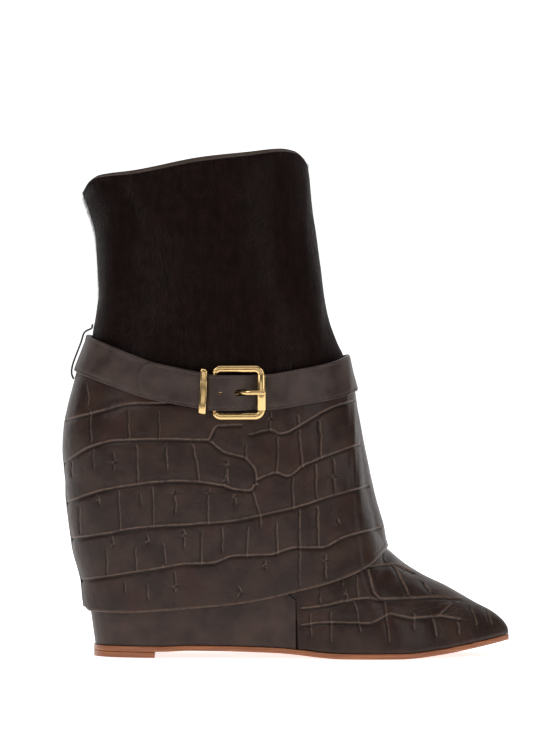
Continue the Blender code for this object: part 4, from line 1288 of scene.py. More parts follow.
def gn_node(tree, kind, inputs=None, **settings):
    node = tree.nodes.new(kind)
    for key, value in settings.items():
        setattr(node, key, value)
    for key, value in (inputs or {}).items():
        if isinstance(value, bpy.types.NodeSocket):
            tree.links.new(value, node.inputs[key])
        else:
            node.inputs[key].default_value = value
    return node


def blade_mesh(name, length, width, bend):
    """One hair: a thin blade of two faces that stands at its root and lies over at its tip."""
    points = [(-width / 2, 0, 0), (width / 2, 0, 0), (width / 3, bend * 0.5, length * 0.55),
              (-width / 3, bend * 0.5, length * 0.55), (0, bend, length)]
    faces = [(0, 1, 2, 3), (3, 2, 4)]
    mesh = bpy.data.meshes.new(name)
    mesh.from_pydata(points, [], faces)
    obj = bpy.data.objects.new(name, mesh)
    return obj


def hair_tree(blade, material):
    """Scatter blades over a mesh: rooted on it, lying along its own lie value."""
    tree = bpy.data.node_groups.new("hair_scatter", "GeometryNodeTree")
    tree.interface.new_socket("Geometry", in_out="INPUT", socket_type="NodeSocketGeometry")
    tree.interface.new_socket("Geometry", in_out="OUTPUT", socket_type="NodeSocketGeometry")
    keys = {
        "density": group_input(tree, "Density", "NodeSocketFloat", 1.0),
        "shortest": group_input(tree, "Shortest", "NodeSocketFloat", 0.7),
        "longest": group_input(tree, "Longest", "NodeSocketFloat", 1.3),
        "stray": group_input(tree, "Stray", "NodeSocketFloat", 0.3),
        "seed": group_input(tree, "Seed", "NodeSocketInt", 1),
    }
    given = tree.nodes.new("NodeGroupInput").outputs
    scatter = gn_node(tree, "GeometryNodeDistributePointsOnFaces", {
        "Mesh": given["Geometry"], "Density": given["Density"], "Seed": given["Seed"]})
    lie = gn_node(tree, "GeometryNodeInputNamedAttribute", {"Name": "lie"}, data_type="FLOAT_VECTOR")
    lies = gn_node(tree, "GeometryNodeSampleNearestSurface", {
        "Mesh": given["Geometry"], "Value": lie.outputs["Attribute"]}, data_type="FLOAT_VECTOR")
    wild = gn_node(tree, "FunctionNodeRandomValue", {
        "Min": (-1.0, -1.0, -1.0), "Max": (1.0, 1.0, 1.0), "Seed": given["Seed"]},
        data_type="FLOAT_VECTOR")
    stray = gn_node(tree, "ShaderNodeVectorMath", {
        0: wild.outputs[0], "Scale": given["Stray"]}, operation="SCALE")
    way = gn_node(tree, "ShaderNodeVectorMath", {
        0: lies.outputs[0], 1: stray.outputs[0]}, operation="ADD")
    upright = gn_node(tree, "FunctionNodeAlignRotationToVector", {
        "Vector": way.outputs[0]}, axis="Z")
    facing = gn_node(tree, "FunctionNodeAlignRotationToVector", {
        "Rotation": upright.outputs[0], "Vector": scatter.outputs["Normal"]}, axis="Y", pivot_axis="Z")
    size = gn_node(tree, "FunctionNodeRandomValue", {
        2: given["Shortest"], 3: given["Longest"], "Seed": given["Seed"]}, data_type="FLOAT")
    one = gn_node(tree, "GeometryNodeObjectInfo", {"Object": blade})
    placed = gn_node(tree, "GeometryNodeInstanceOnPoints", {
        "Points": scatter.outputs["Points"], "Instance": one.outputs["Geometry"],
        "Rotation": facing.outputs[0], "Scale": size.outputs[1]})
    real = gn_node(tree, "GeometryNodeRealizeInstances", {"Geometry": placed.outputs[0]})
    dressed = gn_node(tree, "GeometryNodeSetMaterial", {
        "Geometry": real.outputs[0], "Material": material})
    end = tree.nodes.new("NodeGroupOutput")
    tree.links.new(dressed.outputs[0], end.inputs[0])
    return tree, keys


def as_mesh(name, source, tree, values):
    """What the tree makes of the source object, as a plain mesh object of its own."""
    modifier = source.modifiers.new("scatter", "NODES")
    modifier.node_group = tree
    for key, value in values.items():
        modifier[key] = value
    bpy.context.view_layer.update()
    shown = source.evaluated_get(bpy.context.evaluated_depsgraph_get())
    mesh = bpy.data.meshes.new_from_object(shown)
    source.modifiers.remove(modifier)
    mesh.name = name
    piece = bpy.data.objects.new(name, mesh)
    bpy.context.scene.collection.objects.link(piece)
    return piece


def hair_skin(name, grid, rows, lift, lie_of):
    """A stretch of the hide as a loose skin that carries the way its hair lies."""
    skin = grid[rows]
    normals = grid_normals(grid)[rows]
    points = (skin + normals * lift).reshape(-1, 3)
    faces = loop_faces(skin.shape[0], skin.shape[1])
    values = {"lie": lie_of(skin, normals).reshape(-1, 3)}
    return mesh_piece(name, points, faces, values)


def lie_down(skin, normals):
    """Hair lies down the leg and a little to the back, in loose waves."""
    x, y, z = (skin[..., k] / MM for k in range(3))
    wave = 0.50 * np.sin(z / 17 + x / 29) + 0.32 * np.sin(x / 11 - z / 23 + 1.3)
    wave = wave + 0.22 * np.sin(z / 6.5 + x / 9.0)
    round_way = np.roll(skin, -1, axis=1) - np.roll(skin, 1, axis=1)
    round_way /= np.maximum(np.linalg.norm(round_way, axis=-1, keepdims=True), 1e-9)
    down = np.array([0.0, 0.0, -1.0])
    return down + normals * 0.10 + round_way * (wave - 0.15)[..., None]


def lie_up(skin, normals):
    """At the rim the hair stands over the edge."""
    return normals * 0.55 + np.array([0.0, 0.0, 0.55])


def make_hair():
    blade = blade_mesh("blade", 5.0 * MM, 0.17 * MM, 0.18 * MM)
    tree, keys = hair_tree(blade, HAIR)
    coat_rows = np.arange(8, SHAFT_ROWS - 1)
    skin = hair_skin("hide_skin", shaft_grid, coat_rows, 0.0, lie_down)
    coat_density = 1.75e6
    rim_density = 3.12e6
    coat = as_mesh("hair_coat", skin, tree, {
        keys["density"]: coat_density, keys["shortest"]: 0.55, keys["longest"]: 1.15,
        keys["stray"]: 0.16, keys["seed"]: 3})
    rim_rows = np.arange(SHAFT_ROWS - 3, SHAFT_ROWS)
    edge = hair_skin("rim_skin", shaft_grid, rim_rows, 0.0, lie_up)
    short = as_mesh("hair_rim", edge, tree, {
        keys["density"]: rim_density, keys["shortest"]: 0.20, keys["longest"]: 0.42,
        keys["stray"]: 0.45, keys["seed"]: 8})
    for piece in (coat, short):
        if not piece.data.materials:
            piece.data.materials.append(HAIR)
        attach(piece, "root")
    for spare in (skin, edge, blade):
        bpy.data.objects.remove(spare, do_unlink=True)
    return coat, short


hair_coat, hair_rim = make_hair()
print("hair:", len(hair_coat.data.polygons), "and", len(hair_rim.data.polygons), "faces")

# %% [markdown]
# ## The belt and its metal
#
# One strap: it starts at the pivot bar, goes round the back and the front, passes under the
# front bar and its roller, over its own start and under the keeper, and ends in a stitched tip.

# %% Belt path
PIVOT_TURN = math.acos(1 - 2 * BUCKLE_PIVOT) / math.pi
PIVOT_REACH = (BUCKLE_LENGTH - BUCKLE_BAR) / 2
BUCKLE_BOW = (BUCKLE_LENGTH / 2) ** 2 / SOLE_LENGTH
PRONG_SLOT_LENGTH = 0.0076
PRONG_SLOT_WIDTH = 0.0036
PRONG_SLOT_MIDDLE = 0.06 * BUCKLE_LENGTH
SPARE_HOLE_WIDTH = 0.0019
SPARE_HOLE_MIDDLE = -0.0099


def belt_points(turn, across, outward):
    """Points on the belt's path: whole turns run from back to front and round again."""
    turn = np.asarray(turn, dtype=float)
    place = 0.5 - 0.5 * np.cos(np.pi * turn)
    height = belt_line(place) + across * belt_half_height(place)
    inset = -BELT_EASE - outward
    x = blend(cuff_back_x(height, 0.0), cuff_front_x(height, 0.0), place)
    grow = blend(inset, -inset, place)
    x = x + grow
    side = np.sin(np.pi * turn)
    half = belt_halves(x, height, inset) * np.minimum(1.0, np.abs(side) * SHARP_TURN)
    return np.stack(np.broadcast_arrays(x, centre_y(x) + np.sign(side) * half, height), axis=-1)


def belt_halves(x, height, inset):
    """The cuff's half width for many insets at once."""
    x, height, inset = (np.ravel(a) for a in np.broadcast_arrays(x, height, inset))
    result = np.empty(len(x))
    keys = np.round(inset, 5)
    for key in np.unique(keys):
        here = keys == key
        result[here] = cuff_half(x[here], height[here], float(key))
    return result


def one_point(turn, across, outward):
    return Vector(belt_points(np.array([turn]), across, outward)[0])


def turns_per_metre():
    step = 0.03
    ahead = one_point(2 - PIVOT_TURN + step, 0.0, 0.0)
    behind = one_point(2 - PIVOT_TURN - step, 0.0, 0.0)
    return 2 * step / (ahead - behind).length


TURNS = turns_per_metre()


def buckle_axes():
    """A place on the outer side, square to the belt: along it, up across it, and out."""
    middle = 2 - PIVOT_TURN - PIVOT_REACH * TURNS
    step = BUCKLE_LENGTH / 4 * TURNS
    origin = one_point(middle, 0.0, 0.0)
    along = (one_point(middle - step, 0.0, 0.0) - one_point(middle + step, 0.0, 0.0)).normalized()
    up = one_point(middle, 1.0, 0.0) - one_point(middle, -1.0, 0.0)
    out = along.cross(up).normalized()
    up = out.cross(along).normalized()
    axes = Matrix((along, up, out)).transposed().to_4x4()
    axes.translation = origin
    return axes


def frame_level(x):
    """Height of the frame's middle over the cuff: low at the pivot, over the belt in front."""
    low = BUCKLE_DEPTH / 2 + GAP
    high = BELT_THICKNESS + 2 * GAP + ROLLER_DEPTH / 2
    return float(blend(low, high, soft_step((x + BUCKLE_LENGTH / 2) / BUCKLE_LENGTH)))


rise_line = smooth_line([(d * BUCKLE_LENGTH, r) for d, r in FREE_END_RISE])
OVER_PIVOT = frame_level(-PIVOT_REACH) + PIVOT_BAR / 2 + BUCKLE_BOW + GAP


def free_end_rise(turn):
    """Rise of the belt above the cuff, by its turn: over the pivot bar, then on its start."""
    if turn <= 1:
        return 0.0
    distance = (2 - PIVOT_TURN - turn) / TURNS
    resting = BELT_THICKNESS + GAP if distance < -PIVOT_BAR else 0.0
    return max(float(rise_line(distance)) * OVER_PIVOT, resting)


def tip_share(turn, end):
    """The free end's point: how much of the width is left near its tip."""
    left = max(end - turn, 0.0) / TURNS
    rounding = BELT_WIDTH * 0.42
    return math.sqrt(1 - (1 - min(left / rounding, 1.0)) ** 2) * 0.72 + 0.28


BELT_START = -PIVOT_TURN + (PIVOT_BAR / 2 + GAP) * TURNS
BELT_END = 2 - PIVOT_TURN + BELT_OVERLAP * TURNS
hardware = buckle_axes()
belt_middle = belt_points(np.linspace(BELT_START, BELT_END, 2001), 0.0, BELT_THICKNESS / 2)
belt_length = np.linalg.norm(np.diff(belt_middle, axis=0), axis=1).sum()
print("belt path ready, its middle line is", round(belt_length / MM), "mm long")

# %% Stitches
CUFF_STITCH_PITCH = 1.75 * MM
CUFF_STITCH_RISE = 3.0 * MM
BELT_STITCH_PITCH = 2.0 * MM


def stitch_mesh(name, length, width, height):
    """One stitch: a thread that rises from one hole and dives into the next."""
    stations = [(-0.5, 0.10), (-0.42, 0.62), (-0.20, 0.95), (0.20, 0.95), (0.42, 0.62), (0.5, 0.10)]
    corners = 6
    points = []
    for along, size in stations:
        for i in range(corners):
            turn = 2 * math.pi * i / corners
            points.append((width / 2 * size * math.cos(turn), along * length,
                           height * (0.9 * size - 0.75) + height / 2 * size * math.sin(turn)))
    faces = []
    for k in range(len(stations) - 1):
        for i in range(corners):
            j = (i + 1) % corners
            faces.append((k * corners + i, k * corners + j, (k + 1) * corners + j,
                          (k + 1) * corners + i))
    faces.append(tuple(range(corners))[::-1])
    faces.append(tuple(range((len(stations) - 1) * corners, len(stations) * corners)))
    mesh = bpy.data.meshes.new(name)
    mesh.from_pydata(points, [], faces)
    mesh.shade_smooth()
    return bpy.data.objects.new(name, mesh)


def stitch_tree(stitch, material):
    """Put one stitch at each point, along its way value and standing on its out value."""
    tree = bpy.data.node_groups.new("stitch_line", "GeometryNodeTree")
    tree.interface.new_socket("Geometry", in_out="INPUT", socket_type="NodeSocketGeometry")
    tree.interface.new_socket("Geometry", in_out="OUTPUT", socket_type="NodeSocketGeometry")
    keys = {
        "uneven": group_input(tree, "Uneven", "NodeSocketFloat", 0.1),
        "seed": group_input(tree, "Seed", "NodeSocketInt", 1),
    }
    given = tree.nodes.new("NodeGroupInput").outputs
    way = gn_node(tree, "GeometryNodeInputNamedAttribute", {"Name": "way"}, data_type="FLOAT_VECTOR")
    out = gn_node(tree, "GeometryNodeInputNamedAttribute", {"Name": "out"}, data_type="FLOAT_VECTOR")
    along = gn_node(tree, "FunctionNodeAlignRotationToVector", {
        "Vector": way.outputs["Attribute"]}, axis="Y")
    stood = gn_node(tree, "FunctionNodeAlignRotationToVector", {
        "Rotation": along.outputs[0], "Vector": out.outputs["Attribute"]}, axis="Z", pivot_axis="Y")
    least = gn_node(tree, "ShaderNodeMath", {0: 1.0, 1: given["Uneven"]}, operation="SUBTRACT")
    size = gn_node(tree, "FunctionNodeRandomValue", {
        2: least.outputs[0], 3: 1.0, "Seed": given["Seed"]}, data_type="FLOAT")
    one = gn_node(tree, "GeometryNodeObjectInfo", {"Object": stitch})
    placed = gn_node(tree, "GeometryNodeInstanceOnPoints", {
        "Points": given["Geometry"], "Instance": one.outputs["Geometry"],
        "Rotation": stood.outputs[0], "Scale": size.outputs[1]})
    real = gn_node(tree, "GeometryNodeRealizeInstances", {"Geometry": placed.outputs[0]})
    covered = gn_node(tree, "GeometryNodeSetMaterial", {
        "Geometry": real.outputs[0], "Material": material})
    end = tree.nodes.new("NodeGroupOutput")
    tree.links.new(covered.outputs[0], end.inputs[0])
    return tree, keys


def stitch_seam(name, line, outs, pitch, tree, keys, seed=1):
    """A row of stitches along a line whose points carry the way out of the leather."""
    lengths = np.concatenate([[0], np.cumsum(np.linalg.norm(np.diff(line, axis=0), axis=1))])
    count = max(int(lengths[-1] / pitch), 2)
    at = (np.arange(count) + 0.5) * lengths[-1] / count
    spots = np.stack([np.interp(at, lengths, line[:, k]) for k in range(3)], axis=1)
    out = np.stack([np.interp(at, lengths, outs[:, k]) for k in range(3)], axis=1)
    way = np.gradient(spots, axis=0)
    mesh = bpy.data.meshes.new(name + "_spots")
    mesh.from_pydata(spots.tolist(), [], [])
    for key, value in (("way", way), ("out", out)):
        attribute = mesh.attributes.new(key, "FLOAT_VECTOR", "POINT")
        attribute.data.foreach_set("vector", value.astype(np.float32).ravel())
    source = bpy.data.objects.new(name + "_spots", mesh)
    bpy.context.scene.collection.objects.link(source)
    piece = as_mesh(name, source, tree, {keys["uneven"]: 0.12, keys["seed"]: seed})
    bpy.data.objects.remove(source, do_unlink=True)
    piece.data.shade_smooth()
    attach(piece, "root")
    return piece


def line_at_depth(grid, depth):
    """A line round a stack of loops, a distance above its lower edge, and its ways out."""
    steps = np.linalg.norm(np.diff(grid, axis=0), axis=-1)
    above = np.concatenate([np.zeros((1, grid.shape[1])), np.cumsum(steps, axis=0)])
    normals = grid_normals(grid)
    line = np.empty((grid.shape[1], 3))
    outs = np.empty_like(line)
    for j in range(grid.shape[1]):
        for k in range(3):
            line[j, k] = np.interp(depth, above[:, j], grid[:, j, k])
            outs[j, k] = np.interp(depth, above[:, j], normals[:, j, k])
    return line, outs


fine_stitch = stitch_mesh("fine_stitch", 1.35 * MM, 0.42 * MM, 0.34 * MM)
belt_stitch, belt_stitch_keys = stitch_tree(fine_stitch, THREAD)
small_stitch = stitch_mesh("small_stitch", 1.15 * MM, 0.34 * MM, 0.26 * MM)
cuff_stitch, cuff_stitch_keys = stitch_tree(small_stitch, DARK_THREAD)
edge_line, edge_outs = line_at_depth(cuff_grid, CUFF_STITCH_RISE)
edge_line = np.concatenate([edge_line, edge_line[:1]])
edge_outs = np.concatenate([edge_outs, edge_outs[:1]])
cuff_stitches = stitch_seam("cuff_stitches", edge_line, edge_outs, CUFF_STITCH_PITCH,
                            cuff_stitch, cuff_stitch_keys)
print("cuff stitches:", len(cuff_stitches.data.polygons), "faces")

# %% Belt
BELT_STEPS = 640
BELT_SECTION = [
    (-0.90, 0.00), (0.00, 0.00), (0.90, 0.00), (0.985, 0.10), (1.00, 0.35), (1.00, 0.70),
    (0.985, 0.92), (0.95, 1.00), (0.90, 1.01), (0.865, 0.94), (0.845, 0.90), (0.825, 0.94),
    (0.79, 1.01), (0.60, 1.03), (0.30, 1.05), (0.00, 1.06), (-0.30, 1.05), (-0.60, 1.03),
    (-0.79, 1.01), (-0.825, 0.94), (-0.845, 0.90), (-0.865, 0.94), (-0.90, 1.01),
    (-0.95, 1.00), (-0.985, 0.92), (-1.00, 0.70), (-1.00, 0.35), (-0.985, 0.10),
]
STITCH_ACROSS = 0.845
TIP_ROUNDING = 9 * MM
SEAM_END = 2.2 * MM


def swept_piece(name, stations, material, closed, smooth_angle=50):
    """A solid through sections that all have the same number of points."""
    grid = np.array([[list(point) for point in section] for section in stations])
    rows, count, _ = grid.shape
    faces = [[int(v) for v in face] for face in loop_faces(rows, count)]
    if closed:
        last = (rows - 1) * count
        faces += [[last + j, last + (j + 1) % count, (j + 1) % count, j] for j in range(count)]
    else:
        faces.append(list(range(count))[::-1])
        faces.append(list(range((rows - 1) * count, rows * count)))
    mesh = bpy.data.meshes.new(name)
    mesh.from_pydata(grid.reshape(-1, 3).tolist(), [], faces)
    turned = bmesh.new()
    turned.from_mesh(mesh)
    bmesh.ops.recalc_face_normals(turned, faces=turned.faces)
    turned.to_mesh(mesh)
    turned.free()
    mesh.shade_smooth()
    mesh.set_sharp_from_angle(angle=math.radians(smooth_angle))
    mesh.materials.append(material)
    piece = bpy.data.objects.new(name, mesh)
    bpy.context.scene.collection.objects.link(piece)
    return piece


def cut_away(piece, cutters):
    """Cut the given closed shapes out of the piece for good."""
    for cutter in cutters:
        cut = piece.modifiers.new("cut", "BOOLEAN")
        cut.operation = "DIFFERENCE"
        cut.object = cutter
    bpy.context.view_layer.update()
    shown = piece.evaluated_get(bpy.context.evaluated_depsgraph_get())
    mesh = bpy.data.meshes.new_from_object(shown)
    piece.modifiers.clear()
    piece.data = mesh
    for cutter in cutters:
        bpy.data.objects.remove(cutter, do_unlink=True)


def slot_cutter(name, x, length, width, corners=24):
    """A round-ended slot, or a hole where length and width are equal, through the belt."""
    bm = bmesh.new()
    half = (length - width) / 2
    loops = []
    for z in (-0.010, 0.010):
        loop = []
        for i in range(corners):
            turn = 2 * math.pi * i / corners
            shift = math.copysign(half, math.cos(turn)) if half else 0.0
            across = width / 2 * math.sin(turn)
            point = Vector((x + shift + width / 2 * math.cos(turn), across, z))
            loop.append(bm.verts.new(hardware @ point))
        loops.append(loop)
    for i in range(corners):
        j = (i + 1) % corners
        bm.faces.new((loops[0][i], loops[0][j], loops[1][j], loops[1][i]))
    bm.faces.new(loops[0][::-1])
    bm.faces.new(loops[1])
    bmesh.ops.recalc_face_normals(bm, faces=bm.faces)
    mesh = bpy.data.meshes.new(name)
    bm.to_mesh(mesh)
    bm.free()
    obj = bpy.data.objects.new(name, mesh)
    bpy.context.scene.collection.objects.link(obj)
    return obj


def make_belt():
    turns = np.linspace(BELT_START, BELT_END, BELT_STEPS + 1)
    near_tip = BELT_END - TIP_ROUNDING * TURNS
    turns = np.concatenate([
        turns[turns < near_tip],
        BELT_END - (BELT_END - near_tip) * (1 - np.sin(np.linspace(0, np.pi / 2, 26)))])
    rises = np.array([free_end_rise(turn) for turn in turns])
    widths = np.array([tip_share(turn, BELT_END) if turn > 1.5 else 1.0 for turn in turns])
    across = np.array([a for a, _ in BELT_SECTION])[None, :] * widths[:, None]
    outward = np.array([o for _, o in BELT_SECTION])[None, :] * BELT_THICKNESS + rises[:, None]
    grid = belt_points(
        np.repeat(turns[:, None], len(BELT_SECTION), axis=1).ravel(), across.ravel(),
        outward.ravel()).reshape(len(turns), len(BELT_SECTION), 3)
    piece = swept_piece("belt_strap", grid, STRAP, False)
    cut_away(piece, [
        slot_cutter("prong_slot", PRONG_SLOT_MIDDLE, PRONG_SLOT_LENGTH, PRONG_SLOT_WIDTH),
        slot_cutter("spare_hole", SPARE_HOLE_MIDDLE, SPARE_HOLE_WIDTH, SPARE_HOLE_WIDTH)])
    piece.data.shade_smooth()
    piece.data.set_sharp_from_angle(angle=math.radians(55))
    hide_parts("belt")
    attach(piece, "root")
    return piece


def belt_seam(name, side, start, end, seed):
    """Stitches along one edge of the belt, from one turn to another."""
    turns = np.linspace(start, end, 900)
    rises = np.array([free_end_rise(turn) for turn in turns])
    widths = np.array([tip_share(turn, BELT_END) if turn > 1.5 else 1.0 for turn in turns])
    across = side * STITCH_ACROSS * widths
    line = belt_points(turns, across, rises + 0.97 * BELT_THICKNESS)
    above = belt_points(turns, across, rises + 2.97 * BELT_THICKNESS)
    return stitch_seam(name, line, above - line, BELT_STITCH_PITCH, belt_stitch, belt_stitch_keys,
                       seed)


belt = make_belt()
tip_end = BELT_END - SEAM_END * TURNS
belt_stitches_top = belt_seam("belt_stitches_top", 1, BELT_START, tip_end, 2)
belt_stitches_low = belt_seam("belt_stitches_low", -1, BELT_START, tip_end, 5)
print("belt:", len(belt.data.polygons), "faces")

# %% Buckle, prong, roller, keeper and back loop
def dressed(piece, node, slot):
    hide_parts(node)
    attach(piece, "root")
    return piece


def round_section(centre, side, up, width, depth, corners=24, power=0.62):
    """A rounded rectangle with the given width along side and depth along up."""
    points = []
    for i in range(corners):
        angle = 2 * math.pi * (i + 0.5) / corners
        c, s = math.cos(angle), math.sin(angle)
        across = math.copysign(abs(c) ** power, c) * width / 2
        rise = math.copysign(abs(s) ** power, s) * depth / 2
        points.append(centre + side * across + up * rise)
    return points


def make_buckle_frame():
    half_length = PIVOT_REACH
    half_height = (BUCKLE_HEIGHT - BUCKLE_BAR) / 2
    radius = BUCKLE_BAR * 0.95
    path = []
    for sx, sy in ((1, 1), (-1, 1), (-1, -1), (1, -1)):
        start = math.atan2(sy, sx) - math.pi / 4
        for i in range(13):
            angle = start + math.pi / 2 * i / 12
            path.append((sx * (half_length - radius) + radius * math.cos(angle),
                         sy * (half_height - radius) + radius * math.sin(angle)))
        nx, ny = {(1, 1): (-1, 1), (-1, 1): (-1, -1), (-1, -1): (1, -1), (1, -1): (1, 1)}[sx, sy]
        turn = start + math.pi / 2
        after = (nx * (half_length - radius) + radius * math.cos(turn),
                 ny * (half_height - radius) + radius * math.sin(turn))
        here = path[-1]
        path += [(blend(here[0], after[0], t), blend(here[1], after[1], t))
                 for t in np.linspace(0, 1, 8)[1:-1]]
    out = Vector((0, 0, 1))
    stations = []
    count = len(path)
    for i, (x, y) in enumerate(path):
        ahead, behind = path[(i + 1) % count], path[i - 1]
        side = Vector((ahead[0] - behind[0], ahead[1] - behind[1], 0)).normalized().cross(out)
        thin = float(soft_step((-half_length + 0.6 * MM - x) / (0.5 * MM)))
        width = blend(BUCKLE_BAR, PIVOT_BAR, thin)
        depth = blend(BUCKLE_DEPTH, PIVOT_BAR, thin)
        centre = Vector((x, y, frame_level(x)))
        stations.append(round_section(centre, side, out, width, depth))
    stations = [[hardware @ point for point in section] for section in stations]
    return dressed(swept_piece("gold_buckle_frame", stations, GOLD, True), "buckle_frame", "gold_metal")


def make_roller():
    along, out = Vector((1, 0, 0)), Vector((0, 0, 1))
    centre_level = frame_level(PIVOT_REACH)
    half = ROLLER_LENGTH / 2
    outline = [(-half, 0.86), (-half, 0.94), (-half + 0.25 * MM, 1.0), (half - 0.25 * MM, 1.0),
               (half, 0.94), (half, 0.86), (half - 1.0 * MM, 0.86), (-half + 1.0 * MM, 0.86)]
    stations = []
    for y, size in outline:
        stations.append(round_section(Vector((PIVOT_REACH, y, centre_level)), along, out,
                                      ROLLER_WIDTH * size, ROLLER_DEPTH * size, 32, 0.85))
    stations = [[hardware @ point for point in section] for section in stations]
    return dressed(swept_piece("gold_roller", stations, GOLD, True), "buckle_roller", "gold_metal")


def make_prong():
    half = BUCKLE_LENGTH / 2
    low = frame_level(-PIVOT_REACH)
    top = frame_level(PIVOT_REACH) + ROLLER_DEPTH / 2 + GAP + PRONG_DEPTH / 2
    keys = [
        (-PIVOT_REACH + PIVOT_BAR / 2 + GAP, low), (-0.16 * half, low),
        (0.06 * half, low + 0.30 * (top - low)), (0.34 * half, low + 0.86 * (top - low)),
        (0.56 * half, top), (PIVOT_REACH, top + GAP), (half, top), (half + GAP, top - GAP),
    ]
    path = smooth_line(keys)
    xs = np.linspace(keys[0][0], keys[-1][0], 60)
    zs = path(xs)
    side = Vector((0, 1, 0))
    stations = []
    for i in range(len(xs)):
        before, after = max(i - 1, 0), min(i + 1, len(xs) - 1)
        way = Vector((xs[after] - xs[before], 0, zs[after] - zs[before])).normalized()
        up = side.cross(way) * -1
        left = (xs[-1] - xs[i]) / (1.0 * MM)
        taper = 0.45 + 0.55 * math.sqrt(max(1 - (1 - min(left, 1.0)) ** 2, 0.0))
        stations.append(round_section(Vector((xs[i], 0, zs[i])), side, up,
                                      PRONG_WIDTH * taper, PRONG_DEPTH * taper, 20, 0.8))
    stations = [[hardware @ point for point in section] for section in stations]
    return dressed(swept_piece("gold_prong", stations, GOLD, False), "buckle_prong", "gold_metal")


def make_keeper():
    """A rounded bar over both layers of belt, with a leg down past each edge."""
    middle = 2 - PIVOT_TURN + KEEPER_SETBACK * TURNS
    rise = 2 * (BELT_THICKNESS + GAP) + 2 * GAP
    reach = 1.0 + 3 * GAP / (BELT_WIDTH / 2)
    outer = 1.0 + (3 * GAP + KEEPER_DEPTH) / (BELT_WIDTH / 2)
    outline = [
        (-outer, 0.0), (-outer, rise * 0.5), (-outer, rise + 0.35 * KEEPER_DEPTH),
        (-(outer + reach) / 2, rise + 0.8 * KEEPER_DEPTH), (-reach, rise + KEEPER_DEPTH),
        (-0.5, rise + KEEPER_DEPTH), (0.0, rise + KEEPER_DEPTH), (0.5, rise + KEEPER_DEPTH),
        (reach, rise + KEEPER_DEPTH), ((outer + reach) / 2, rise + 0.8 * KEEPER_DEPTH),
        (outer, rise + 0.35 * KEEPER_DEPTH), (outer, rise * 0.5), (outer, 0.0),
        (reach, 0.0), (reach, rise * 0.5), (reach, rise), (0.5, rise), (0.0, rise), (-0.5, rise),
        (-reach, rise), (-reach, rise * 0.5), (-reach, 0.0),
    ]
    half = KEEPER_WIDTH / 2 * TURNS
    centre = (0.0, rise + KEEPER_DEPTH / 2)
    stations = []
    for share, pull in ((-1.0, 0.30), (-0.96, 0.12), (-0.82, 0.0), (-0.4, -0.04), (0.4, -0.04),
                        (0.82, 0.0), (0.96, 0.12), (1.0, 0.30)):
        section = []
        for across, outward in outline:
            on_top = outward > rise + 0.2 * KEEPER_DEPTH
            lowered = outward - (pull * KEEPER_DEPTH if on_top else 0.0)
            drawn = across * (1 - 0.02 * max(pull, 0) * (abs(across) > reach + 0.001))
            section.append(one_point(middle + half * share, drawn, lowered))
        stations.append(section)
    return dressed(swept_piece("gold_keeper", stations, GOLD, False, 60), "keeper", "gold_metal")


def make_back_loop():
    """The thin leather loop at the back seam that holds the belt up."""
    belt_mid = float(belt_line(0.0))
    half = float(belt_half_height(0.0))
    over_cuff = GAP + LOOP_THICKNESS / 2
    over_belt = over_cuff + GAP + BELT_THICKNESS
    on_shaft = over_cuff - GAP - CUFF_WALL
    keys = [
        (1.60 * half, on_shaft), (1.40 * half, on_shaft), (1.20 * half, over_belt),
        (1.00 * half, over_belt + 0.8 * LOOP_SLACK), (0.60 * half, over_belt + LOOP_SLACK),
        (-0.20 * half, over_belt + LOOP_SLACK), (-0.90 * half, over_belt + 0.6 * LOOP_SLACK),
        (-1.20 * half, over_belt), (-1.50 * half, over_cuff),
    ]
    offset = smooth_line(sorted(keys))
    rises = np.linspace(keys[0][0], keys[-1][0], 60)
    points = [Vector((float(cuff_back_x(belt_mid + r, 0.0) - offset(r)), 0.0, belt_mid + r))
              for r in rises]
    side = Vector((0, 1, 0))
    stations = []
    for i, point in enumerate(points):
        before, after = points[max(i - 1, 0)], points[min(i + 1, len(points) - 1)]
        across = side.cross((after - before).normalized())
        stations.append(round_section(point, side, across, LOOP_WIDTH, LOOP_THICKNESS, 16))
    return dressed(swept_piece("strap_back_loop", stations, STRAP, False), "back_loop", "strap_leather")


for make in (make_buckle_frame, make_roller, make_prong, make_keeper, make_back_loop):
    print(make().name, "made")

# %% [markdown]
# ## Stage
#
# A plain pale floor that curves up into a backdrop, soft boxes, and a long lens from the side.

# %% Floor, lights and camera
VIEW_MIDDLE = Vector((0.0852, 0.0, 0.16365))
VIEW_HEIGHT = 0.4151
VIEW_DISTANCE = 6.0
SENSOR = 36.0


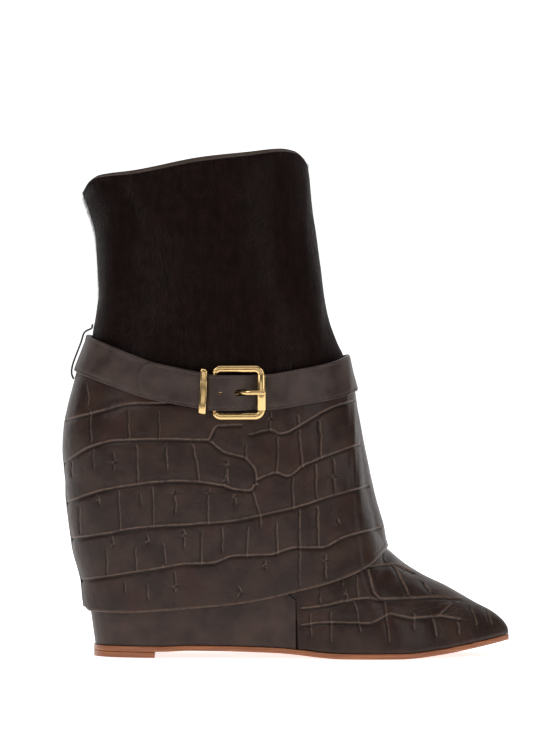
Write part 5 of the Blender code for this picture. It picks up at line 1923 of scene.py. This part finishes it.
def make_stage():
    profile = [(-0.9, 0.0), (2.2, 0.0)]
    bend = 1.2
    for i in range(1, 13):
        turn = math.pi / 2 * i / 12
        profile.append((2.2 + bend * math.sin(turn), bend * (1 - math.cos(turn))))
    profile.append((2.2 + bend, 6.0))
    points = [(x, y, z) for x in (-7.0, 7.0) for y, z in profile]
    count = len(profile)
    faces = [(i, i + count, i + count + 1, i + 1) for i in range(count - 1)]
    floor = mesh_piece("backdrop", points, faces)
    look = Look("backdrop_look", (0.90, 0.90, 0.90), 0.9)
    look.set("Specular IOR Level", 0.1)
    look.set("Emission Color", (1.0, 1.0, 1.0, 1.0))
    look.set("Emission Strength", 0.75)
    floor.data.materials.append(look.material)


def soft_box(name, place, target, width, height, power, colour=(1.0, 1.0, 1.0)):
    light = bpy.data.lights.new(name, "AREA")
    light.shape = "RECTANGLE"
    light.size = width
    light.size_y = height
    light.energy = power
    light.color = colour
    obj = bpy.data.objects.new(name, light)
    bpy.context.scene.collection.objects.link(obj)
    way = Vector(target) - Vector(place)
    obj.matrix_world = Matrix.Translation(place) @ way.to_track_quat("-Z", "Y").to_matrix().to_4x4()


def make_camera():
    data = bpy.data.cameras.new("side_view")
    data.sensor_fit = "VERTICAL"
    data.sensor_height = SENSOR
    data.lens = SENSOR * VIEW_DISTANCE / VIEW_HEIGHT
    data.clip_end = 60
    obj = bpy.data.objects.new("side_view", data)
    bpy.context.scene.collection.objects.link(obj)
    way = Vector((0, math.cos(CAMERA_RISE), -math.sin(CAMERA_RISE)))
    place = VIEW_MIDDLE - way * VIEW_DISTANCE
    obj.matrix_world = Matrix.Translation(place) @ way.to_track_quat("-Z", "Y").to_matrix().to_4x4()
    bpy.context.scene.camera = obj


make_stage()
soft_box("key_left", (-1.3, -1.6, 1.5), (0.08, 0, 0.12), 1.0, 1.4, 14)
soft_box("fill_right", (1.6, -1.5, 0.9), (0.08, 0, 0.12), 0.9, 1.4, 8)
soft_box("top", (0.1, -0.1, 1.9), (0.08, 0, 0.1), 1.6, 1.2, 11)
soft_box("front_low", (0.1, -2.6, 0.5), (0.08, 0, 0.12), 1.6, 0.8, 3)
world = bpy.data.worlds.new("studio")
world.use_nodes = True
world.node_tree.nodes["Background"].inputs["Color"].default_value = (1.0, 1.0, 1.0, 1.0)
world.node_tree.nodes["Background"].inputs["Strength"].default_value = 0.10
bpy.context.scene.world = world
bpy.context.scene.view_settings.view_transform = "Standard"
make_camera()
print("stage ready")
